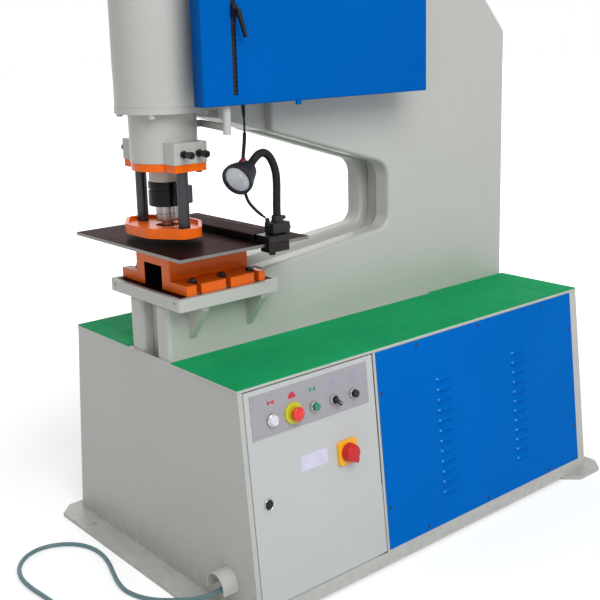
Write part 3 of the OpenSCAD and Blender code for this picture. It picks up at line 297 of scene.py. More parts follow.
# %% Helpers for finishes
def srgb(red, green, blue):
    """A colour as a paint chart gives it, from 0 to 255, in the renderer's linear units."""
    def linear(c):
        c /= 255
        return c / 12.92 if c <= 0.04045 else ((c + 0.055) / 1.055) ** 2.4
    return (linear(red), linear(green), linear(blue), 1)


def shade_of(colour, factor):
    """The same colour, lighter or darker."""
    return tuple(min(1, c * factor) for c in colour[:3]) + (1,)


def blank(name, **numbers):
    """A new finish with plain numbers on its shader, such as Roughness=0.4."""
    material = bpy.data.materials.new(name)
    material.use_nodes = True
    tree = material.node_tree
    shader = tree.nodes["Principled BSDF"]
    for socket, value in numbers.items():
        shader.inputs[socket.replace("_", " ")].default_value = value
    return material, tree, shader


def in_range(tree, source, low, high, to_low, to_high):
    """A socket's values, brought from one range into another."""
    spread = tree.nodes.new("ShaderNodeMapRange")
    ends = ("From Min", "From Max", "To Min", "To Max")
    for socket, value in zip(ends, (low, high, to_low, to_high)):
        spread.inputs[socket].default_value = value
    tree.links.new(source, spread.inputs["Value"])
    return spread.outputs["Result"]


def noise(tree, size, detail, stretch=(1, 1, 1), low=0.3, high=0.7, to_low=0.0, to_high=1.0):
    """Noise with features of a size in metres, brought into a range."""
    place = tree.nodes.new("ShaderNodeTexCoord")
    mapping = tree.nodes.new("ShaderNodeMapping")
    mapping.inputs["Scale"].default_value = stretch
    texture = tree.nodes.new("ShaderNodeTexNoise")
    texture.inputs["Scale"].default_value = 1 / size
    texture.inputs["Detail"].default_value = detail
    tree.links.new(place.outputs["Object"], mapping.inputs["Vector"])
    tree.links.new(mapping.outputs["Vector"], texture.inputs["Vector"])
    return in_range(tree, texture.outputs["Fac"], low, high, to_low, to_high)


def blend(tree, share, first, second):
    """Two colours mixed by a share. Each is a colour or a socket."""
    mix = tree.nodes.new("ShaderNodeMix")
    mix.data_type = "RGBA"
    tree.links.new(share, mix.inputs["Factor"])
    for socket, colour in (("A", first), ("B", second)):
        target = [i for i in mix.inputs if i.name == socket and i.type == "RGBA"][0]
        if isinstance(colour, tuple):
            target.default_value = colour
        else:
            tree.links.new(colour, target)
    return [o for o in mix.outputs if o.type == "RGBA"][0]


def height_band(tree, low, high):
    """One near the floor, falling to nothing over a band of heights."""
    place = tree.nodes.new("ShaderNodeTexCoord")
    split = tree.nodes.new("ShaderNodeSeparateXYZ")
    tree.links.new(place.outputs["Object"], split.inputs["Vector"])
    return in_range(tree, split.outputs["Z"], low, high, 1, 0)


def times(tree, first, second):
    """Two sockets, or a socket and a number, multiplied."""
    node = tree.nodes.new("ShaderNodeMath")
    node.operation = "MULTIPLY"
    for i, source in enumerate((first, second)):
        if isinstance(source, (int, float)):
            node.inputs[i].default_value = source
        else:
            tree.links.new(source, node.inputs[i])
    return node.outputs["Value"]


def relief(tree, shader, height, depth, soft_edge=0.0):
    """Bumps from a height socket, depth in metres, over softly lit edges."""
    bump = tree.nodes.new("ShaderNodeBump")
    bump.inputs["Strength"].default_value = 1
    bump.inputs["Distance"].default_value = depth
    tree.links.new(height, bump.inputs["Height"])
    if soft_edge:
        edge = tree.nodes.new("ShaderNodeBevel")
        edge.samples = 4
        edge.inputs["Radius"].default_value = soft_edge
        tree.links.new(edge.outputs["Normal"], bump.inputs["Normal"])
    tree.links.new(bump.outputs["Normal"], shader.inputs["Normal"])


def feed(tree, shader, colour, roughness):
    """Links what varies over the surface to the shader."""
    tree.links.new(colour, shader.inputs["Base Color"])
    tree.links.new(roughness, shader.inputs["Roughness"])


# %% Enamel paints
def enamel(name, colour, roughness, dust=0.0, gloss=0.4):
    """Sprayed machine paint: cloudy by a few hundredths, with a fine orange peel."""
    material, tree, shader = blank(name, Specular_IOR_Level=gloss)
    cloud = noise(tree, 0.35, 3)
    coat = blend(tree, cloud, shade_of(colour, 0.965), shade_of(colour, 1.03))
    grain = noise(tree, 0.004, 2, low=0.35, high=0.65)
    coat = blend(tree, times(tree, grain, 0.06), coat, shade_of(colour, 0.7))
    if dust:
        patches = noise(tree, 0.03, 4, low=0.35, high=0.7)
        low_band = times(tree, height_band(tree, 0.0, 0.16), patches)
        coat = blend(tree, times(tree, low_band, dust), coat, srgb(132, 126, 116))
    dulled = noise(tree, 0.09, 3, to_low=roughness - 0.05, to_high=roughness + 0.06)
    feed(tree, shader, coat, dulled)
    relief(tree, shader, noise(tree, 0.0035, 1), 0.00006, 0.0008)
    return material


frame_paint = enamel("frame_paint", srgb(193, 194, 188), 0.36, dust=0.25)
door_paint = enamel("door_paint", srgb(196, 199, 198), 0.34)
panel_paint = enamel("panel_paint", srgb(166, 164, 170), 0.42)
blue_paint = enamel("blue_paint", srgb(0, 95, 182), 0.42, gloss=0.015)
vent_paint = enamel("vent_paint", srgb(0, 106, 198), 0.42, gloss=0.015)
orange_paint = enamel("orange_paint", srgb(255, 111, 12), 0.3, gloss=0.22)
unit_paint = enamel("unit_paint", srgb(92, 104, 116), 0.4)
cabinet_paint = enamel("cabinet_paint", srgb(222, 221, 212), 0.4)
print("paints:", sum(m.name.endswith("paint") for m in bpy.data.materials))


# %% Steels
def steel(name, colour, roughness, metallic=1.0, grind_and_band_stretch=(1, 1, 1), grind_and_band_size=0.002,
          depth=0.00002, low_gleam=(1, 1, 1, 1), mark_and_band_share=0.35, mark_and_band_shade=0.72):
    """Steel with grinding marks along one direction, and a tint on its low reflections. Drawn
    strong and dark, as on the punch, the marks are painted reflection bands.
    """
    material, tree, shader = blank(name, Metallic=metallic, Specular_Tint=low_gleam)
    marks = noise(tree, grind_and_band_size, 3, stretch=grind_and_band_stretch, low=0.25, high=0.75)
    tone = blend(tree, noise(tree, 0.06, 4), shade_of(colour, 0.86), shade_of(colour, 1.1))
    tone = blend(tree, times(tree, marks, mark_and_band_share), tone, shade_of(colour, mark_and_band_shade))
    worn = noise(tree, grind_and_band_size * 1.7, 3, stretch=grind_and_band_stretch,
                 to_low=roughness - 0.06, to_high=roughness + 0.1)
    feed(tree, shader, tone, worn)
    relief(tree, shader, marks, depth, 0.0005)
    return material


turned_steel = steel("turned_steel", srgb(196, 196, 198), 0.2, grind_and_band_stretch=(1, 1, 12))
ground_steel = steel("ground_steel", srgb(150, 148, 146), 0.3, grind_and_band_stretch=(0.06, 1, 1))
oiled = {"low_gleam": (0.40, 0.37, 0.37, 1), "mark_and_band_share": 0.15}
table_steel = steel("table_steel", srgb(72, 63, 63), 0.36, grind_and_band_stretch=(0.05, 1, 1), **oiled)
gauge_steel = steel("gauge_steel", srgb(50, 45, 45), 0.36, grind_and_band_stretch=(1, 0.05, 1), **oiled)
bolster_steel = steel("bolster_steel", srgb(82, 72, 70), 0.35, grind_and_band_stretch=(0.2, 1, 1), **oiled)
black_oxide = steel("black_oxide", srgb(34, 34, 37), 0.3, 0.6)
post_steel = steel("post_steel", srgb(62, 63, 66), 0.36, 0.7, grind_and_band_stretch=(1, 1, 0.15))
nut_steel = steel("nut_steel", srgb(22, 22, 24), 0.16, 0.4, grind_and_band_stretch=(1, 1, 8),
                  low_gleam=(0.3, 0.3, 0.32, 1))
chrome = steel("chrome", srgb(205, 206, 208), 0.12)
print("finishes so far:", len(bpy.data.materials))


# %% Plastics, rubber and glass
def plastic(name, colour, roughness, coat=0.2, grain=0.0015, gleam=0.5):
    """Moulded plastic with a fine spark-eroded grain."""
    material, tree, shader = blank(name, Coat_Weight=coat, Coat_Roughness=0.15,
                                   Specular_IOR_Level=gleam)
    tone = blend(tree, noise(tree, 0.02, 3), shade_of(colour, 0.94), shade_of(colour, 1.05))
    dulled = noise(tree, 0.012, 3, to_low=roughness - 0.05, to_high=roughness + 0.07)
    feed(tree, shader, tone, dulled)
    relief(tree, shader, noise(tree, grain, 1), 0.00003, 0.0004)
    return material


black_plastic = plastic("black_plastic", srgb(28, 28, 31), 0.42, 0.0, gleam=0.3)
neck_rubber = plastic("neck_rubber", srgb(20, 20, 22), 0.5, 0.0, gleam=0.2)
red_plastic = plastic("red_plastic", srgb(228, 38, 34), 0.28)
dark_red_plastic = plastic("dark_red_plastic", srgb(120, 14, 24), 0.3)
switch_red = plastic("switch_red", srgb(200, 6, 14), 0.36, 0.0)
yellow_plastic = plastic("yellow_plastic", srgb(250, 182, 14), 0.32)
lime_plastic = plastic("lime_plastic", srgb(206, 200, 26), 0.32)
green_plastic = plastic("green_plastic", srgb(10, 134, 98), 0.26)
white_plastic = plastic("white_plastic", srgb(226, 226, 236), 0.28)
cable_rubber = plastic("cable_rubber", srgb(98, 128, 134), 0.46, 0.05, grain=0.003)


def deck_rubber():
    """Green anti-slip mat: fine ribs along the machine, scuffed by boots."""
    colour = srgb(26, 164, 100)
    material, tree, shader = blank("deck_rubber", Specular_IOR_Level=0.03)
    tone = blend(tree, noise(tree, 0.22, 4), shade_of(colour, 0.9), shade_of(colour, 1.08))
    scuffs = noise(tree, 0.012, 4, stretch=(0.15, 1, 1), low=0.55, high=0.8)
    tone = blend(tree, times(tree, scuffs, 0.25), tone, srgb(86, 168, 122))
    feed(tree, shader, tone, noise(tree, 0.05, 3, to_low=0.5, to_high=0.68))
    relief(tree, shader, noise(tree, 0.0028, 2, stretch=(0.25, 1, 1)), 0.0002)
    return material


mat_rubber = deck_rubber()


def lens_glass():
    """Clear lamp glass, matt enough to blur what lies behind it a little."""
    material, tree, shader = blank("lens_glass", Transmission_Weight=1.0, IOR=1.45)
    shader.inputs["Base Color"].default_value = (0.95, 0.97, 1, 1)
    tree.links.new(noise(tree, 0.03, 2, to_low=0.1, to_high=0.2), shader.inputs["Roughness"])
    return material


clear_glass = lens_glass()
print("finishes in all:", len(bpy.data.materials))

# %% A ringed or tapered tube along a course
def course_through(points, parts):
    """Points of a smooth curve through given points."""
    points = [Vector(p) for p in points]
    course = []
    padded = [points[0], *points, points[-1]]
    for a, b, c, d in zip(padded, padded[1:], padded[2:], padded[3:]):
        for j in range(parts):
            t = j / parts
            course.append(0.5 * (2 * b + (c - a) * t + (2 * a - 5 * b + 4 * c - d) * t * t
                                 + (3 * b - a - 3 * c + d) * t * t * t))
    return course + [points[-1]]


def tube(bm, course, radii, sides):
    """Rings square to a course, joined into a closed tube."""
    rings = []
    for i, (middle, radius) in enumerate(zip(course, radii)):
        ahead = course[min(i + 1, len(course) - 1)] - course[max(i - 1, 0)]
        turned = ahead.to_track_quat("Z", "Y").to_matrix().to_4x4()
        made = bmesh.ops.create_circle(
            bm, cap_ends=i in (0, len(course) - 1), segments=sides, radius=radius,
            matrix=Matrix.Translation(middle) @ turned,
        )
        rings.append(made["verts"])
    for first, second in zip(rings, rings[1:]):
        ring_edges = [e for ring in (first, second) for e in edges_of(ring)
                      if e.verts[0] in ring and e.verts[1] in ring]
        bmesh.ops.bridge_loops(bm, edges=ring_edges)
    bmesh.ops.recalc_face_normals(bm, faces=faces_of(v for ring in rings for v in ring))


# %% [markdown]
# ## Cables
# The supply cable leaves the base under its hood, drops to the floor and lies there in a
# loose loop. What is left over is wound into a neat coil. A curve with a round section is
# the natural way to make it: its line is the cable's real length. The first stretch keeps
# the places of the solid cable, and a loop winds the coil's four turns.

# %% The course of the supply cable
cable_r = 0.0065
supply_course = mm(
    (-738, -357, 82), (-752, -356.5, 81.2), (-766, -353.5, 78.5), (-779, -347, 73.5),
    (-790.5, -336.5, 66), (-800.5, -320.5, 57), (-809, -300, 46.5), (-818, -274, 36),
    (-829, -246, 26.5), (-843, -216, 18), (-860, -184, 11), (-879, -148, 7.5), (-894, -109, 7),
    (-901, -66, 7), (-894, -14, 7), (-878, 40, 7), (-860, 98, 7), (-850, 156, 7), (-853, 210, 7),
    (-871, 258, 7), (-904, 295, 7), (-949, 318, 7), (-996, 319, 7), (-1040, 297, 7),
    (-1076, 252, 7), (-1094, 194, 7), (-1096, 130, 7), (-1089, 62, 7), (-1083, -10, 7),
    (-1080, -80, 7), (-1082, -150, 7), (-1086, -205, 7), (-1087, -245, 7),
)
coil_middle = Vector((-1.000, -0.270, 0))
coil_radius = 0.087
coil_pitch = 0.0132
layer_low, layer_high = 0.007, 0.0202
turns_in, turns_rise, turns_out = 1.6, 0.5, 1.9


def coil_course():
    """A flat spiral inwards, a rise of one diameter, and a flat spiral back outwards."""
    points = []
    for step in range(1, round((turns_in + turns_rise + turns_out) * 16) + 1):
        turns = step / 16
        inner = turns_in + turns_rise
        radius = coil_radius - coil_pitch * (inner - math.hypot(turns - inner, 0.4))
        share = min(max((turns - turns_in) / turns_rise, 0), 1)
        height = layer_low + (layer_high - layer_low) * share * share * (3 - 2 * share)
        angle = math.pi + math.tau * turns
        flat = (radius * math.cos(angle), radius * math.sin(angle))
        points.append(coil_middle + Vector((*flat, height)))
    return points


coil_start = coil_middle + Vector((-coil_radius, 0, layer_low))
supply_line = [*(Vector(p) for p in supply_course), coil_start, *coil_course()]
print("supply cable: points", len(supply_line))


# %% A round cable as a curve
def cable(name, points, radius, finish, stands_for):
    """A smooth curve through points, with a round section."""
    curve = bpy.data.curves.new(name, "CURVE")
    curve.dimensions = "3D"
    curve.resolution_u = curve.bevel_resolution = 4
    curve.bevel_depth = radius
    curve.use_fill_caps = True
    spline = curve.splines.new("BEZIER")
    spline.bezier_points.add(len(points) - 1)
    for i, (knot, point) in enumerate(zip(spline.bezier_points, points)):
        before, after = points[max(i - 1, 0)], points[min(i + 1, len(points) - 1)]
        reach = (after - before) / (6 if 0 < i < len(points) - 1 else 3)
        knot.co = point
        knot.handle_left = point - reach
        knot.handle_right = point + reach
    piece = add_object(name, curve)
    curve.materials.append(finish)
    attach(piece, "machine")
    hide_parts(*stands_for)
    return piece


supply_cable = cable("supply_cable", supply_line, cable_r, cable_rubber,
                     ["power_cable", "power_cable_coil"])
relief_course = course_through(supply_course[:4], 5)[:12]
relief_radii = [0.0122 - 0.0004 * i - 0.0006 * (i % 2) for i in range(len(relief_course))]
bm = bmesh.new()
tube(bm, relief_course, relief_radii, 28)
supply_relief = hang("supply_relief", bm, cable_rubber)

tie_in, tie_out, tie_top, tie_half, tie_t = 0.0565, 0.0955, 0.0282, 0.0038, 0.0012
bm = bmesh.new()
for low, high in (
    ((tie_in, -tie_half, 0.0001), (tie_in + tie_t, tie_half, tie_top)),
    ((tie_out - tie_t, -tie_half, 0.0001), (tie_out, tie_half, tie_top)),
    ((tie_in, -tie_half, tie_top - tie_t), (tie_out, tie_half, tie_top)),
    ((tie_in, -tie_half, 0.0001), (tie_out, tie_half, 0.0005)),
    ((tie_out, -0.0048, 0.0100), (tie_out + 0.0055, 0.0048, 0.0165)),
):
    block(bm, low, high, Matrix.Translation(coil_middle))
bevel(bm, hard_edges(bm), 0.0001, 1)
coil_tie = hang("coil_tie", bm, black_plastic)

# %% Lead from the side cover to the lamp
lead_course = [Vector(p) for p in mm(
    (-490, -165, 1372.7), (-489, -166, 1340), (-489, -167, 1305), (-492, -169, 1270),
    (-498, -171, 1238), (-504, -174, 1205), (-508, -180, 1172), (-514, -190, 1145),
    (-520, -203, 1122), (-521, -218, 1102), (-514, -234, 1084), (-503, -246, 1069),
    (-493, -254, 1059),
)]
lamp_lead = cable("lamp_lead", lead_course, 0.0031, neck_rubber, ["lamp_cable"])
sleeve_course = course_through(lead_course[2:], 4)[2:-3]
bm = bmesh.new()
tube(bm, sleeve_course, [0.0052 if point.z > 1.2 else 0.0044 for point in sleeve_course], 16)
tube(bm, course_through(lead_course[:3], 5)[:7], [0.0066 - 0.0004 * i for i in range(7)], 16)
lead_sleeve = hang("lead_sleeve", bm, neck_rubber)

# %% [markdown]
# ## Light and floor
# A machine is shown best in even studio light: one large soft light over the operator's
# side, a faint one on the front end, one from behind, and a pale surround. The floor and
# the background are white only to the eye and in reflections, so they add no extra light.

# %% Surround
bpy.context.scene.view_settings.view_transform = "Standard"
world = bpy.data.worlds.new("surround")
bpy.context.scene.world = world
world.use_nodes = True
tree = world.node_tree
ambient = tree.nodes["Background"]
sky_tint, sky_strength = (0.97, 0.985, 1, 1), 0.44
ambient.inputs["Color"].default_value = sky_tint
ambient.inputs["Strength"].default_value = sky_strength
shown = tree.nodes.new("ShaderNodeBackground")
shown.inputs["Color"].default_value = (1, 1, 1, 1)
shown.inputs["Strength"].default_value = 1.0


def seen(tree):
    """One for rays from the eye, from a reflection or through glass, and nothing otherwise."""
    path = tree.nodes.new("ShaderNodeLightPath")
    either = None
    for ray in ("Is Glossy Ray", "Is Transmission Ray"):
        add = tree.nodes.new("ShaderNodeMath")
        add.operation = "MAXIMUM"
        tree.links.new(either or path.outputs["Is Camera Ray"], add.inputs[0])
        tree.links.new(path.outputs[ray], add.inputs[1])
        either = add.outputs["Value"]
    return either


mix = tree.nodes.new("ShaderNodeMixShader")
tree.links.new(seen(tree), mix.inputs["Fac"])
tree.links.new(ambient.outputs["Background"], mix.inputs[1])
tree.links.new(shown.outputs["Background"], mix.inputs[2])
tree.links.new(mix.outputs["Shader"], tree.nodes["World Output"].inputs["Surface"])

# %% Floor
floor_half = 40
floor_drop = 0.0005
glow_near, glow_far = (1.2, 0.42), (3.6, 1.0)  # distance in metres, strength
bm = bmesh.new()
bmesh.ops.create_grid(bm, x_segments=1, y_segments=1, size=floor_half)
bmesh.ops.translate(bm, vec=(0, 0, -floor_drop), verts=bm.verts)
floor_mesh = bpy.data.meshes.new("floor")
bm.to_mesh(floor_mesh)
bm.free()
floor = add_object("floor", floor_mesh)

floor_paint, tree, shader = blank("floor_paint", Roughness=0.8, Specular_IOR_Level=0.2)
shader.inputs["Base Color"].default_value = (0.82, 0.82, 0.82, 1)
glow = tree.nodes.new("ShaderNodeEmission")
glow.inputs["Color"].default_value = (1, 1, 1, 1)
place = tree.nodes.new("ShaderNodeTexCoord")
away = tree.nodes.new("ShaderNodeVectorMath")
away.operation = "LENGTH"
tree.links.new(place.outputs["Object"], away.inputs[0])
lift = in_range(tree, away.outputs["Value"], glow_near[0], glow_far[0], glow_near[1], glow_far[1])
tree.links.new(times(tree, lift, seen(tree)), glow.inputs["Strength"])
both = tree.nodes.new("ShaderNodeAddShader")
tree.links.new(shader.outputs["BSDF"], both.inputs[0])
tree.links.new(glow.outputs["Emission"], both.inputs[1])
tree.links.new(both.outputs["Shader"], tree.nodes["Material Output"].inputs["Surface"])
floor_mesh.materials.append(floor_paint)
print("floor:", 2 * floor_half, "m square")


# %% Lamps
def soft_light(name, place, at, size, power):
    """A large square light that looks at a point."""
    data = bpy.data.lights.new(name, "AREA")
    data.size = size
    data.energy = power
    light = add_object(name, data)
    light.location = place
    light.rotation_euler = (Vector(at) - Vector(place)).to_track_quat("-Z", "Y").to_euler()
    light.visible_camera = False


soft_light("key", (-1.3, -3.9, 4.0), (0, 0, 0.8), 3.0, 150)
soft_light("fill", (-4.4, -1.4, 1.2), (0, 0, 0.8), 2.4, 1)
soft_light("rim", (1.8, 4.2, 3.4), (0, 0, 1.0), 3.0, 34)

# %% [markdown]
# ## Finish for every solid part
# Parts whose shape is already right keep their mesh and only take a finish. The table
# below lists the parts under each finish, so that no part is left plain.

# %% Finish by part
PARTS_WITH = {
    frame_paint: (
        "foot_plates base_end_plates base_far_side base_near_frame deck_plates cable_cowl "
        "frame_plate_near frame_plate_far frame_core bolster_plate nose_block guide_head "
        "cylinder_cover cylinder_barrel ram stroke_arm"
    ),
    mat_rubber: "deck_mats",
    vent_paint: "vent_panel",
    black_oxide: "vent_screws cap_screws trip_rail stop_block stop_lever",
    door_paint: "control_door",
    ground_steel: "door_hinge_pins pump_coupling",
    chrome: "door_lock button_bezels",
    panel_paint: "control_plate",
    white_plastic: "white_button",
    lime_plastic: "estop_collar",
    red_plastic: "estop_button main_switch_knob",
    green_plastic: "green_button",
    black_plastic: "selector_knob black_button lamp_base lamp_knob lamp_head",
    yellow_plastic: "main_switch_plate",
    orange_paint: "die_holder head_plate stripper",
    turned_steel: "die_insert punch",
    table_steel: "table_plate",
    gauge_steel: "back_gauge",
    post_steel: "stripper_posts",
    nut_steel: "coupling_nut",
    blue_paint: "side_cover",
    neck_rubber: "lamp_neck lamp_cable",
    clear_glass: "lamp_lens",
    dark_red_plastic: "lamp_switch",
    unit_paint: "oil_tank motor gear_pump",
    cabinet_paint: "electrical_plate",
    cable_rubber: "power_cable power_cable_coil",
}
NODE_FINISH = {node: finish for finish, nodes in PARTS_WITH.items() for node in nodes.split()}
for node, part in frame["nodes"].items():
    part.data.materials.clear()
    part.data.materials.append(NODE_FINISH[node])
print("parts finished:", len(frame["nodes"]))

# %% Rounded plates of the C-frame
ROUND_PARTS = [
    # part, slot, width, segments
    ("frame_plate_near", "frame_grey", 0.013, 4),
    ("frame_plate_far", "frame_grey", 0.013, 4),
    ("frame_core", "frame_grey", 0.004, 2),
    ("base_end_plates", "frame_grey", 0.0025, 2),
    ("foot_plates", "frame_grey", 0.003, 2),
    ("deck_plates", "frame_grey", 0.002, 2),
    ("cable_cowl", "frame_grey", 0.0008, 2),
    ("control_door", "door_grey", 0.0016, 2),
    ("control_plate", "panel_grey", 0.0006, 2),
    ("nose_block", "frame_grey", 0.003, 3),
    ("guide_head", "frame_grey", 0.003, 3),
    ("head_plate", "orange_paint", 0.0025, 3),
    ("cylinder_cover", "frame_grey", 0.003, 3),
    ("cylinder_barrel", "frame_grey", 0.0025, 3),
    ("stroke_arm", "frame_grey", 0.002, 2),
    ("back_gauge", "dark_steel", 0.0012, 2),
    ("stripper_posts", "dark_steel", 0.0015, 2),
]
for part, slot, width, segments in ROUND_PARTS:
    rounded(part, NODE_FINISH[part], width, segments)

# %% Places on the leaning side
deck_edge = Vector((0, -0.424, 0.662))
side_lean = math.atan2(0.062, 0.650)
sheet_out = 0.002


def on_side(x, down, out=0.0):
    """Frame of the leaning side: X to the rear, Y up the sheet, Z outwards."""
    return (Matrix.Translation((x, deck_edge.y, deck_edge.z))
            @ Matrix.Rotation(math.pi / 2 - side_lean, 4, "X")
            @ Matrix.Translation((0, -down, out)))


print("side leans", round(math.degrees(side_lean), 2), "degrees")

# %% [markdown]
# ## The vent panel
# The panel is pressed sheet: each louvre is a slit whose upper lip is pushed outwards, with
# ends that close smoothly. A wedge with its ridge and ends bevelled round gives that hood.
# The slit is an inset in its lower face, pushed inwards, in a deeper blue that is painted shade
# for the dark opening. The left end of each louvre is a small dome in a lighter, glossier blue,
# which is a painted highlight.

# %% Vent panel with pressed louvres
panel_x0, panel_w = -0.244, 0.944
panel_top, panel_bottom = 0.0120, 0.6109
louvre_w, louvre_h, louvre_out = 0.066, 0.016, 0.0062
lip_out, end_taper, hood_round = 0.0015, 0.86, 0.0035
wall, slit_deep, dome_r = 0.0012, 0.004, 0.004
DOME = mm((0, 6.6), (2.2, 6), (3.4, 4.2), (3.9, 2), (4, -1), (0, -1))
louvre_x = [panel_x0 + 0.276, panel_x0 + 0.639]
louvre_top, louvre_pitch, louvre_count = 0.151, 0.0326, 12
# The slit's deeper blue is painted shade for the dark opening behind the lip.
slit_dark = enamel("slit_dark", srgb(0, 76, 150), 0.6, gloss=0.02)
# The lighter, glossier blue of the louvre ends is a painted highlight.
louvre_end_highlight = enamel("louvre_end_highlight", srgb(70, 165, 245), 0.3, gloss=0.2)


def louvre(bm, place):
    """One pressed hood, open downwards."""
    half_w, half_h = louvre_w / 2, louvre_h / 2
    verts = block(bm, (-half_w, -half_h, -0.001), (half_w, half_h, louvre_out))
    for vert in verts:
        if vert.co.z > 0 and vert.co.y > 0:
            vert.co.z = lip_out
        if vert.co.z > 0:
            vert.co.x *= end_taper
    mouth = [f for f in faces_of(verts)
             if f.normal.y < -0.9 or f.calc_center_median().y < -0.45 * louvre_h]
    ridge = [e for e in edges_of(verts) if any(v.co.z > 0 for v in e.verts)]
    bmesh.ops.inset_region(bm, faces=mouth, thickness=wall, depth=0)
    # Slot 1 is the slit's deeper blue: painted shade in the opening.
    for face in mouth:
        face.material_index = 1
    pushed = bmesh.ops.extrude_face_region(bm, geom=mouth)["geom"]
    inner = [g for g in pushed if isinstance(g, bmesh.types.BMVert)]
    bmesh.ops.translate(bm, vec=(0, slit_deep, 0), verts=inner)
    bmesh.ops.delete(bm, geom=mouth, context="FACES_ONLY")
    for face in [g for g in pushed if isinstance(g, bmesh.types.BMFace)]:
        face.material_index = 1
    grown = set(verts) | set(inner)
    for vert in list(grown):
        for edge in vert.link_edges:
            grown.update(edge.verts)
    round_and_place(bm, grown, [e for e in ridge if e.is_valid], hood_round, 3, place)
    end = place @ Matrix.Translation((dome_r - half_w, 0, 0))
    # Slot 2 paints the dome at the louvre's left end lighter: a painted highlight.
    paint_faces(turn(bm, DOME, end, 12), 2)


bm = bmesh.new()
soft_block(bm, (0, 0, 0), (panel_w, panel_bottom - panel_top, sheet_out),
           on_side(panel_x0, panel_bottom), 0.0007)
for x in louvre_x:
    for i in range(louvre_count):
        louvre(bm, on_side(x, louvre_top + i * louvre_pitch, sheet_out))
hang("vent_sheet", bm, [vent_paint, slit_dark, louvre_end_highlight],
     stands_for=["vent_panel"])
print("louvres:", len(louvre_x) * louvre_count)

# %% Round-headed screws of the panel
bm = bmesh.new()
screw_in = 0.013
panel_h = panel_bottom - panel_top
screw_places = [(panel_x0 + f * panel_w, s) for f in (0.18, 0.48, 0.82)
                for s in (panel_top + screw_in, panel_bottom - screw_in)]
screw_places += [(x, panel_top + f * panel_h) for f in (0.21, 0.79)
                 for x in (panel_x0 + screw_in, panel_x0 + panel_w - screw_in)]
for x, down in screw_places:
    turn(bm, mm(
        (0, 2.4), (1.2, 2.4), (2.8, 1.9), (4.2, 1), (5, 0), (2.6, 0), (2.6, -8), (0, -8),
    ), on_side(x, down, sheet_out), 20)
hang("panel_screws", bm, black_oxide, stands_for=["vent_screws"])
print("panel screws:", len(screw_places))

# %% [markdown]
# ## The door's controls
# Push buttons of this kind come as units: a threaded stem, a bright bezel ring and a
# moulded cap. They are all turned parts, so each is a profile spun about its own axis and
# placed square to the leaning door.

# %% Bezel rings and push buttons
plate_x0, plate_s0, plate_w, plate_h = -0.703, 0.028, 0.420, 0.120
button_x0, button_pitch, button_s = plate_x0 + 0.067, 0.073, plate_s0 + 0.077


def at_button(i, out=0.0):
    """Frame of the control with number i."""
    return on_side(button_x0 + i * button_pitch, button_s, out)


RING = mm(
    (9.2, -8), (11, -8), (11, 2), (15, 2), (15, 8.5), (14.4, 10.5), (13.4, 11.8), (12.4, 12),
    (11.5, 11.2), (11.2, 9.5), (11.2, 5), (9.2, 5), (9.2, -8),
)
bm = bmesh.new()
for i, wider in ((0, 1.25), (2, 1), (3, 1), (4, 1)):
    turn(bm, [(radius * wider, height) for radius, height in RING], at_button(i), 40)
hang("bezel_rings", bm, chrome, "door", ["button_bezels"])


def button_cap(name, i, height, finish, node, body, dish=0.0008, wider=1):
    """A cap with a rounded rim, on its plunger."""
    low = 0.0093
    top = low + height
    cap = [(0, top - dish), (0.0070, top - dish * 0.8), (0.0088, top), (0.0100, top - 0.0003),
           (0.0108, top - 0.0012), (0.0110, top - 0.0026), (0.0110, low)]
    plunger = [(0.009, low), (0.009, -0.014), (0, -0.014)]
    turned_piece(name, [(radius * wider, height) for radius, height in cap] + plunger,
                 at_button(i), 40, finish, body, [node])


button_cap("white_cap", 0, 0.0055, white_plastic, "white_button", "white_push",
           dish=-0.001, wider=1.25)
button_cap("green_cap", 2, 0.012, green_plastic, "green_button", "green_push")
button_cap("black_cap", 4, 0.012, black_plastic, "black_button", "black_push")
print("push buttons: white, green and black")

# %% Emergency stop
COLLAR = mm(
    (9.2, -8), (11, -8), (11, 2), (30, 2), (30, 7.2), (29.2, 8.8), (27.6, 9.8), (20, 10),
    (15, 10), (14, 9.4), (9.2, 9.4), (9.2, -8),
)
MUSHROOM = mm(
    (0, 32.5), (8, 32.2), (14, 31.3), (18, 29.6), (19.6, 27.5), (20, 25), (19.7, 22.8),
    (18.2, 21), (15, 19.2), (12.8, 17.6), (12.6, 15.3), (9, 15.3), (9, -14), (0, -14),
)
turned_piece("stop_collar", COLLAR, at_button(1), 56, lime_plastic, "door",
             ["estop_collar"])
turned_piece("stop_mushroom", MUSHROOM, at_button(1), 56, red_plastic, "stop_push",
             ["estop_button"])
print("emergency stop: mushroom", round(2000 * max(r for r, _ in MUSHROOM)), "mm across")

# %% Selector knob with its pointer
bm = bmesh.new()
turn(bm, mm(
    (0, 14), (9.6, 14), (10.6, 13.4), (11, 12.2), (11, 5.3), (9, 5.3), (9, -14), (0, -14),
), at_button(3), 40)
pointer = at_button(3, 0.0135) @ Matrix.Rotation(math.radians(-135), 4, "Z")
soft_block(bm, (-0.005, -0.011, 0), (0.005, 0.023, 0.0095), pointer, 0.0022, 3)
line = soft_block(bm, (-0.0007, 0.008, 0.0088), (0.0007, 0.0225, 0.0098), pointer, 0.0003, 1)
paint_faces(line, 1)
hang("selector_lever", bm, [black_plastic, white_plastic], "selector",
     ["selector_knob"])

# %% Main switch
switch_at = on_side(-0.383, 0.266)
switch_half, switch_t, switch_corner = 0.035, 0.010, 0.009
bm = bmesh.new()
verts = block(bm, (-switch_half, -switch_half, 0), (switch_half, switch_half, switch_t))
bevel(bm, [e for e in edges_of(verts) if rise(e) > switch_t / 2], switch_corner, 5)
rim = [e for e in bm.edges if all(v.co.z > 0.99 * switch_t for v in e.verts)]
bevel(bm, rim, 0.0016, 3)
bmesh.ops.transform(bm, matrix=switch_at, verts=bm.verts)
hang("switch_plate", bm, yellow_plastic, "door", ["main_switch_plate"])

